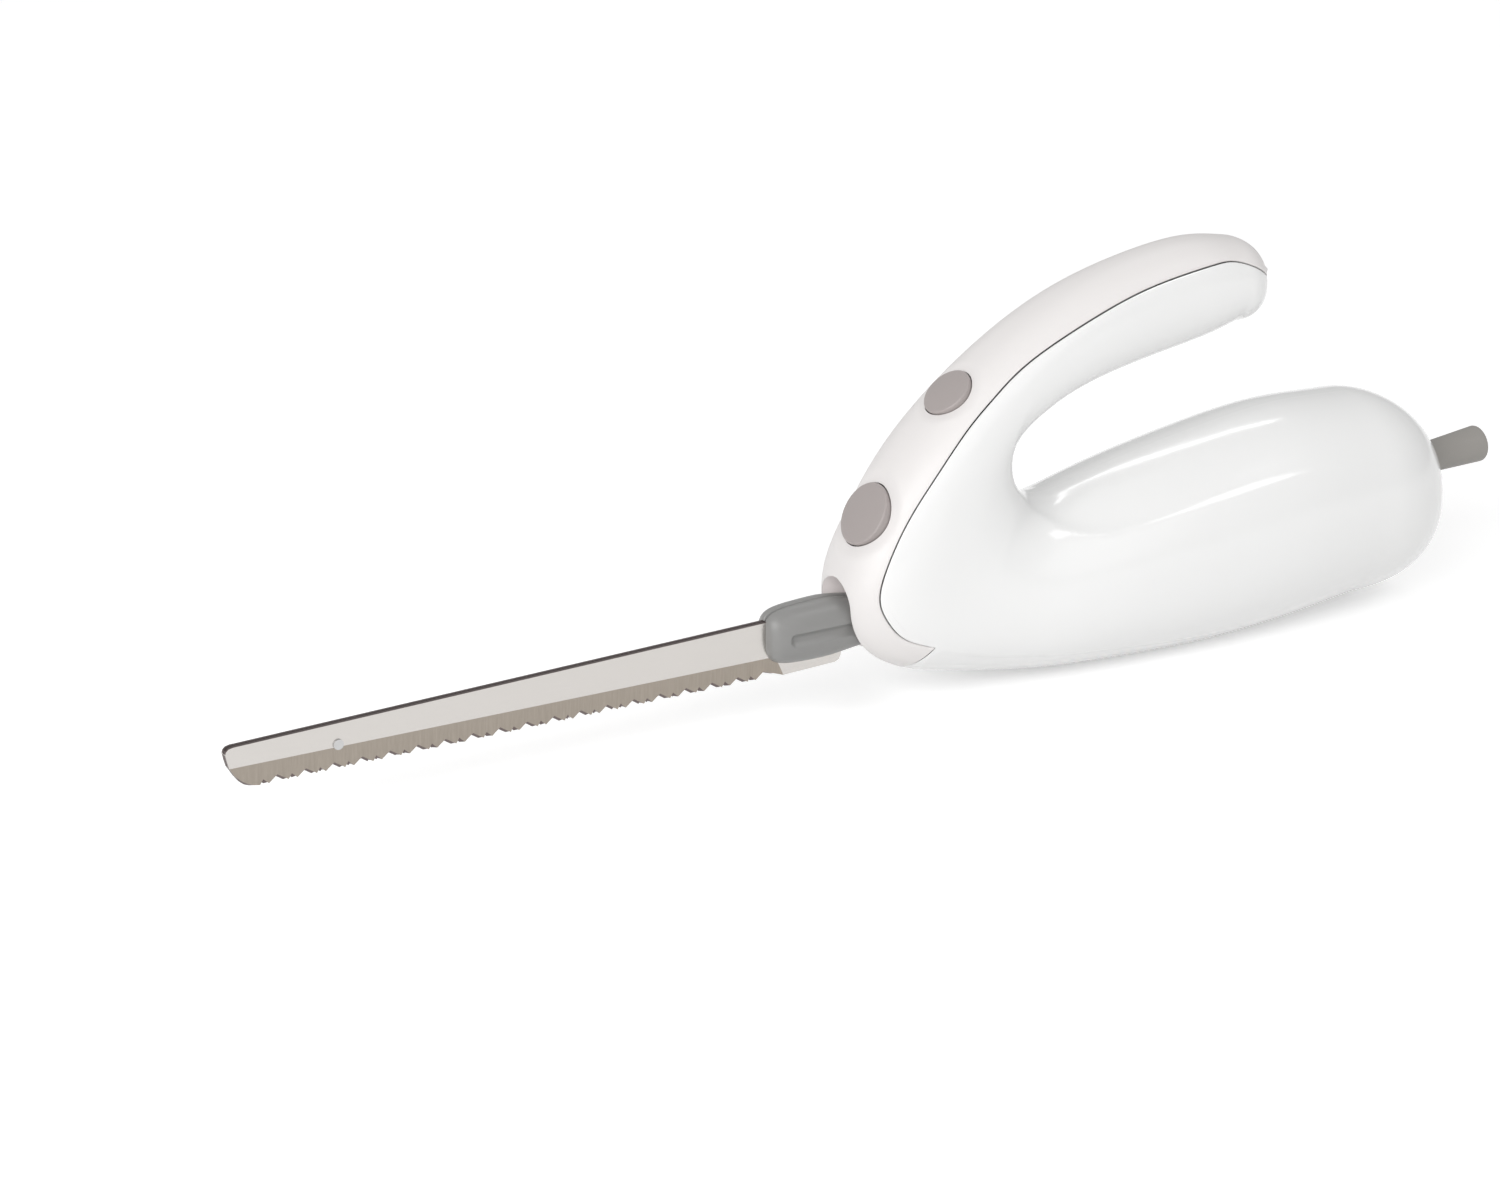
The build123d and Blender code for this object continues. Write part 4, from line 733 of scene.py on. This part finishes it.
def blade_edges(shift):
    """Lower and upper outline of a blade as x, z lists from the tip to the tang's end."""
    lower = [(-334.0, 27.5), (-333.6, 25.6), (-333.0, 23.3), (-331.3, 20.5), (-329.0, 18.3), (-327.1, 17.1),
             (-325.2, 16.3)]
    count = int((EDGE_REAR[0] - FIRST_GULLET) / TOOTH_PITCH) + 1
    shares = np.array([(-0.61, 0.00), (-0.50, 0.74), (-0.30, 0.00), (0.00, 1.00)])
    index = np.arange(count)[:, None]
    x = FIRST_GULLET + shift + (index + shares[None, :, 0]) * TOOTH_PITCH
    z = edge_line(x) + shares[None, :, 1] * TOOTH_DEPTH
    lower += list(zip(x.ravel(), z.ravel()))
    lower += [
        (-149.0, 14.7), (-130.6, 15.3), (-129.2, 15.9), (-128.5, 17.4),
        (-128.4, 20.9), (-128.3, 21.0), (-74.02, 21.0), (-74.0, 23.0), (-71.0, 23.0), (-70.98, 21.0),
        (-62.5, 21.0), (-60.0, 23.5),
    ]
    upper = [(-334.0, 27.7), (-333.7, 28.6), (-332.9, 29.3), (-331.5, 29.6), (-124.52, 33.7), (-124.5, 31.5),
             (-61.0, 31.5), (-60.2, 31.2), (-60.0, 30.5)]
    return np.array(lower), np.array(upper)


def blade_rings(outer_sign, shift):
    """Cross sections of a blade along X: flat sides, with the outer one ground down to the edge below.

    The teeth are cut at a slant: the inner side has the lower outline of a place a little further back.
    """
    lower, upper = blade_edges(shift)
    teeth = lower[(lower[:, 0] > -330.0) & (lower[:, 0] < -150.0), 0]
    x = np.unique(np.concatenate([
        lower[:, 0], upper[:, 0], teeth - EDGE_SLANT, np.linspace(-333.9, -325.0, 24),
        np.linspace(-324.0, -60.1, 180),
    ]))
    low = np.interp(x, lower[:, 0], lower[:, 1])
    slant = EDGE_SLANT * np.clip((x + 332.0) / 4.0, 0, 1) * np.clip((-151.0 - x) / 2.0, 0, 1)
    low_inside = np.interp(x + slant, lower[:, 0], lower[:, 1])
    high = np.maximum(np.interp(x, upper[:, 0], upper[:, 1]), low + 0.02)
    line = np.interp(x, [BEVEL_FRONT[0], BEVEL_REAR[0]], [BEVEL_FRONT[1], BEVEL_REAR[1]])
    ground = np.clip((x + 152.0) / 3.0, 0, 1)
    bevel = np.clip(line, low, high)
    bevel = bevel * (1 - ground) + low * ground
    drop = np.clip((line - low) / (BEVEL_FRONT[1] - EDGE_FRONT[1]), 0, 1) * (1 - ground)
    thin = BLADE_OUTER - drop * (BLADE_OUTER - BLADE_INNER - EDGE_THICKNESS)
    columns = [
        (BLADE_INNER + 0 * x, high), (BLADE_OUTER - 0.08 + 0 * x, high), (BLADE_OUTER + 0 * x, high - 0.08),
        (BLADE_OUTER + 0 * x, np.minimum(bevel + 0.01, high - 0.09)),
        (BLADE_OUTER - 0.004 + 0 * x, np.minimum(bevel, high - 0.1)),
        (thin, low), (BLADE_INNER + 0 * x, low_inside),
    ]
    return np.stack([np.stack([x, outer_sign * y, z], axis=1) for y, z in columns], axis=1)


def blade_piece(name, node, sign, body, shift):
    """A blade: its cross sections joined, with the ground face in a material of its own, and its hole."""
    rings = blade_rings(sign, shift)
    obj = ring_piece(name, rings, [blade_flat, blade_ground, blade_edge], [2, 2, 0, 0, 1, 2, 0], sharp=18.0)
    hole = cutter("hole", turned([(-3, 1.5), (3, 1.5)], (-66.0, 0, 26.25), (0, 1, 0), (1, 0, 0), 32))
    combine(obj, "DIFFERENCE", [hole])
    face_outwards(obj, 8e-6)
    obj.data.set_sharp_from_angle(angle=math.radians(18))
    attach(obj, body)
    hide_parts(node)


blade_piece("left_blade_steel", "left_blade", -1.0, "left_blade", 0.0)
blade_piece("right_blade_steel", "right_blade", 1.0, "right_blade", FAR_SHIFT)


# Guards
# Along X: place, top, bottom and reach to the side, in millimetres
GUARD = np.array([
    (-155.2, 32.4, 24.6, 2.4), (-154.9, 33.7, 22.9, 3.8), (-154.0, 34.9, 21.1, 5.0),
    (-151.9, 36.0, 19.5, 6.2), (-147.5, 36.8, 18.6, 6.9), (-141.0, 37.2, 18.3, 7.15),
    (-134.0, 37.3, 18.4, 7.15), (-127.0, 36.4, 19.2, 7.15),
    (-122.0, 35.4, 19.8, 7.0),
])
GUARD_FULLNESS, SPLIT_GAP, SPLIT_DEPTH, SPLIT_REACH = 2.4, 0.3, 0.9, 1.0
FLUTE_FRONT, FLUTE_Z, FLUTE_HALF, FLUTE_DEPTH = -149.6, 27.6, 2.2, 1.6


def guard_rings(sign):
    """A guard half: rings of half a superellipse carried along X, with a smooth dent in the side.

    The dent's depth is (1 - h^2)^1.2 of its full depth, with h the share of its half height, and its front
    end is round. At the top the inner edge is rounded down to the split between the two halves.
    """
    rows = natural_spline(GUARD)(np.linspace(0, len(GUARD) - 1, 150))
    x, top, bottom, reach = rows.T
    angle = np.linspace(0, np.pi, 97)
    cosine, sine = np.cos(angle), np.sin(angle)
    up = np.sign(cosine) * np.abs(cosine) ** (2 / GUARD_FULLNESS)
    out = np.abs(sine) ** (2 / GUARD_FULLNESS)
    z = (top + bottom)[:, None] / 2 + ((top - bottom) / 2)[:, None] * up[None]
    y = SPLIT_GAP + reach[:, None] * out[None]
    z = z - SPLIT_DEPTH * np.clip(1 - (y - SPLIT_GAP) / SPLIT_REACH, 0, 1) ** 2 * np.sign(up)[None]
    height = np.abs(z - FLUTE_Z) / FLUTE_HALF
    front = np.clip((x[:, None] - FLUTE_FRONT) / FLUTE_HALF, 0, None)
    across = np.where(front < 1, np.hypot(height, 1 - front), height)
    dent = np.clip(1 - across**2, 0, 1) ** 1.2
    y = y - FLUTE_DEPTH * dent * (out[None] > 0.5)
    return np.stack([np.broadcast_to(x[:, None], y.shape), sign * y, z], axis=-1)


for guard_name, node, sign, body in (
    ("left_guard_grip", "left_guard", -1.0, "left_blade"),
    ("right_guard_grip", "right_guard", 1.0, "right_blade"),
):
    guard = ring_piece(guard_name, guard_rings(sign), [guard_grey], sharp=50.0)
    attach(guard, body)
    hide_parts(node)


# Buttons and cord sleeve
def domed_profile(radius, depth, top, round_edge):
    """Profile of a button from its axis at the back, round the rim to a dome: (along, radius) pairs."""
    turn = np.linspace(0, np.pi / 2, 9)
    rim_top, rim_radius = top - 0.5 - round_edge, radius - round_edge
    rim = [(rim_top + round_edge * math.sin(t), rim_radius + round_edge * math.cos(t)) for t in turn]
    dome = [(top - 0.5 + 0.5 * (1 - s * s), (radius - round_edge) * s) for s in np.linspace(1, 0.002, 14)[1:]]
    return [(-depth, radius * 0.002), (-depth, radius - 0.2)] + rim + dome


for name, node, centre, out, radius, depth, top, body in (
    ("power_button_cap", "power_button", POWER_CENTRE, POWER_OUT, POWER_RADIUS, 3.5, 0.5, "power_button"),
    ("eject_button_cap", "eject_button", EJECT_CENTRE, EJECT_OUT, EJECT_RADIUS, 4.0, 0.0, "eject_button"),
):
    side = np.cross(out, [0, 1, 0])
    rings = turned(domed_profile(radius, depth, top, 0.7), centre, out, side)
    cap = ring_piece(name, rings, [button_grey], sharp=60.0)
    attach(cap, body)
    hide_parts(node)

SLEEVE_TILT = math.radians(3.8)
SLEEVE_OUT = np.array([math.cos(SLEEVE_TILT), 0.0, math.sin(SLEEVE_TILT)])
SLEEVE_ROOT = np.array([0.383 * LENGTH, 0.0, 0.307 * HEIGHT])
sleeve_profile = [
    (0.0, 3.6), (0.0, 5.0), (2.35, 5.0), (2.35, 6.95), (4.25, 6.95), (4.25, 5.0), (8.0, 5.0),
]
sleeve_profile += [(8.0 + s * 22.5, 5.0 + s * 1.03) for s in np.linspace(0, 1, 12)[1:]]
outer_turn, inner_turn = np.linspace(0.15, np.pi / 2, 9), np.linspace(0, np.pi / 2, 6)
sleeve_profile += [(32.5 - 1.3 + 1.3 * math.sin(t), 4.78 + 1.3 * math.cos(t)) for t in outer_turn]
sleeve_profile += [(32.5 - 0.5 + 0.5 * math.cos(t), 4.1 - 0.5 * math.sin(t)) for t in inner_turn]
sleeve_rings = turned(sleeve_profile, SLEEVE_ROOT, SLEEVE_OUT, (0, 1, 0))
sleeve_faces = grid_faces(len(sleeve_profile), 96, wrap=True).tolist()
last_row = (len(sleeve_profile) - 1) * 96
sleeve_faces += [(last_row + i, last_row + (i + 1) % 96, (i + 1) % 96, i) for i in range(96)]
sleeve = add_piece("cord_sleeve_rubber", sleeve_rings.reshape(-1, 3), sleeve_faces, [sleeve_grey], sharp=50.0)
face_outwards(sleeve)
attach(sleeve, "housing")
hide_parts("cord_sleeve")

# Finishes of the CAD nodes that stay
NODE_FINISH = {
    "eject_fork": nylon, "power_button_spring": spring_wire, "eject_button_spring": spring_wire,
    "brush_springs": spring_wire, "switch_body": black_plastic, "switch_plunger": button_grey,
    "blade_rivet": spring_wire, "left_driver": nylon, "right_driver": nylon, "left_latch": spring_wire,
    "right_latch": spring_wire, "gearbox_frame": black_plastic, "gear_axle": ground_steel,
    "drive_gear": nylon, "motor_shaft": ground_steel, "front_bearing": bronze, "rear_bearing": bronze,
    "armature_core": laminations, "armature_winding": copper, "commutator": brass,
    "cooling_fan": fan_plastic, "stator_core": laminations, "field_coils": copper,
    "motor_end_bracket": black_plastic, "carbon_brushes": carbon, "brush_holders": brass,
    "terminal_block": black_plastic, "suppression_capacitor": film, "cord_clamp": black_plastic,
    "housing_screws": spring_wire,
}
for node, material in NODE_FINISH.items():
    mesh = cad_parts[node].data
    mesh.materials.clear()
    mesh.materials.append(material)

# Floor, light and background
floor_mesh = bpy.data.meshes.new("floor")
reach, floor_z = 6.0, -0.0002
floor_mesh.from_pydata(
    [(-reach, -reach, floor_z), (reach, -reach, floor_z), (reach, reach, floor_z), (-reach, reach, floor_z)],
    [],
    [(0, 1, 2, 3)],
)
floor = bpy.data.objects.new("floor", floor_mesh)
bpy.context.scene.collection.objects.link(floor)
floor_material = bpy.data.materials.new("pale_floor")
floor_material.use_nodes = True
nodes = floor_material.node_tree.nodes
links = floor_material.node_tree.links
shader = nodes["Principled BSDF"]
shader.inputs["Base Color"].default_value = (0.86, 0.86, 0.86, 1)
shader.inputs["Roughness"].default_value = 0.9
shader.inputs["Specular IOR Level"].default_value = 0.1
glow = nodes.new("ShaderNodeEmission")
rays = nodes.new("ShaderNodeLightPath")
seen = nodes.new("ShaderNodeMath")
seen.operation = "MAXIMUM"
seen_more = nodes.new("ShaderNodeMath")
seen_more.operation = "MAXIMUM"
links.new(rays.outputs["Is Camera Ray"], seen.inputs[0])
links.new(rays.outputs["Is Glossy Ray"], seen.inputs[1])
links.new(seen.outputs[0], seen_more.inputs[0])
links.new(rays.outputs["Is Transmission Ray"], seen_more.inputs[1])
level = nodes.new("ShaderNodeMath")
level.operation = "MULTIPLY"
level.inputs[1].default_value = 0.38
links.new(seen_more.outputs[0], level.inputs[0])
links.new(level.outputs[0], glow.inputs["Strength"])
both = nodes.new("ShaderNodeAddShader")
links.new(shader.outputs[0], both.inputs[0])
links.new(glow.outputs[0], both.inputs[1])
links.new(both.outputs[0], nodes["Material Output"].inputs["Surface"])
floor_mesh.materials.append(floor_material)

world = bpy.data.worlds.new("studio")
bpy.context.scene.world = world
world.use_nodes = True
nodes = world.node_tree.nodes
links = world.node_tree.links
background = nodes["Background"]
background.inputs["Color"].default_value = (1.0, 1.0, 1.0, 1)
rays = nodes.new("ShaderNodeLightPath")
mix = nodes.new("ShaderNodeMapRange")
mix.inputs["To Min"].default_value = 0.56
mix.inputs["To Max"].default_value = 1.0
links.new(rays.outputs["Is Camera Ray"], mix.inputs["Value"])
links.new(mix.outputs["Result"], background.inputs["Strength"])


def area_light(name, place, aim, size, power):
    """A soft rectangular lamp that faces a point."""
    data = bpy.data.lights.new(name, "AREA")
    data.shape = "RECTANGLE"
    data.size, data.size_y = size
    data.energy = power
    obj = bpy.data.objects.new(name, data)
    bpy.context.scene.collection.objects.link(obj)
    obj.location = place
    direction = np.asarray(aim, float) - np.asarray(place, float)
    direction = direction / np.linalg.norm(direction)
    pitch = math.acos(-direction[2])
    turn = math.atan2(direction[1], direction[0]) - math.pi / 2
    obj.rotation_euler = (pitch, 0.0, turn)
    return obj


def lamp_at(name, turn, lift, distance, size, power):
    """A lamp at a turn from the front towards the tail and a lift above level, aimed at the housing."""
    turn, lift = math.radians(turn), math.radians(lift)
    aim = np.array([-0.05, 0.0, 0.06])
    out = np.array([math.sin(turn) * math.cos(lift), -math.cos(turn) * math.cos(lift), math.sin(lift)])
    area_light(name, tuple(aim + distance * out), tuple(aim), size, power)


lamp_at("key", -60.0, 25.0, 2.2, (1.6, 1.6), 26.6)
lamp_at("fill", 0.0, 25.0, 2.2, (1.6, 1.6), 4.2)
lamp_at("back_strip", 141.0, 53.5, 1.8, (0.66, 0.12), 1.25)
lamp_at("side_strip", 38.0, 50.0, 1.8, (0.36, 0.46), 1.9)

bpy.context.scene.view_settings.view_transform = "Standard"
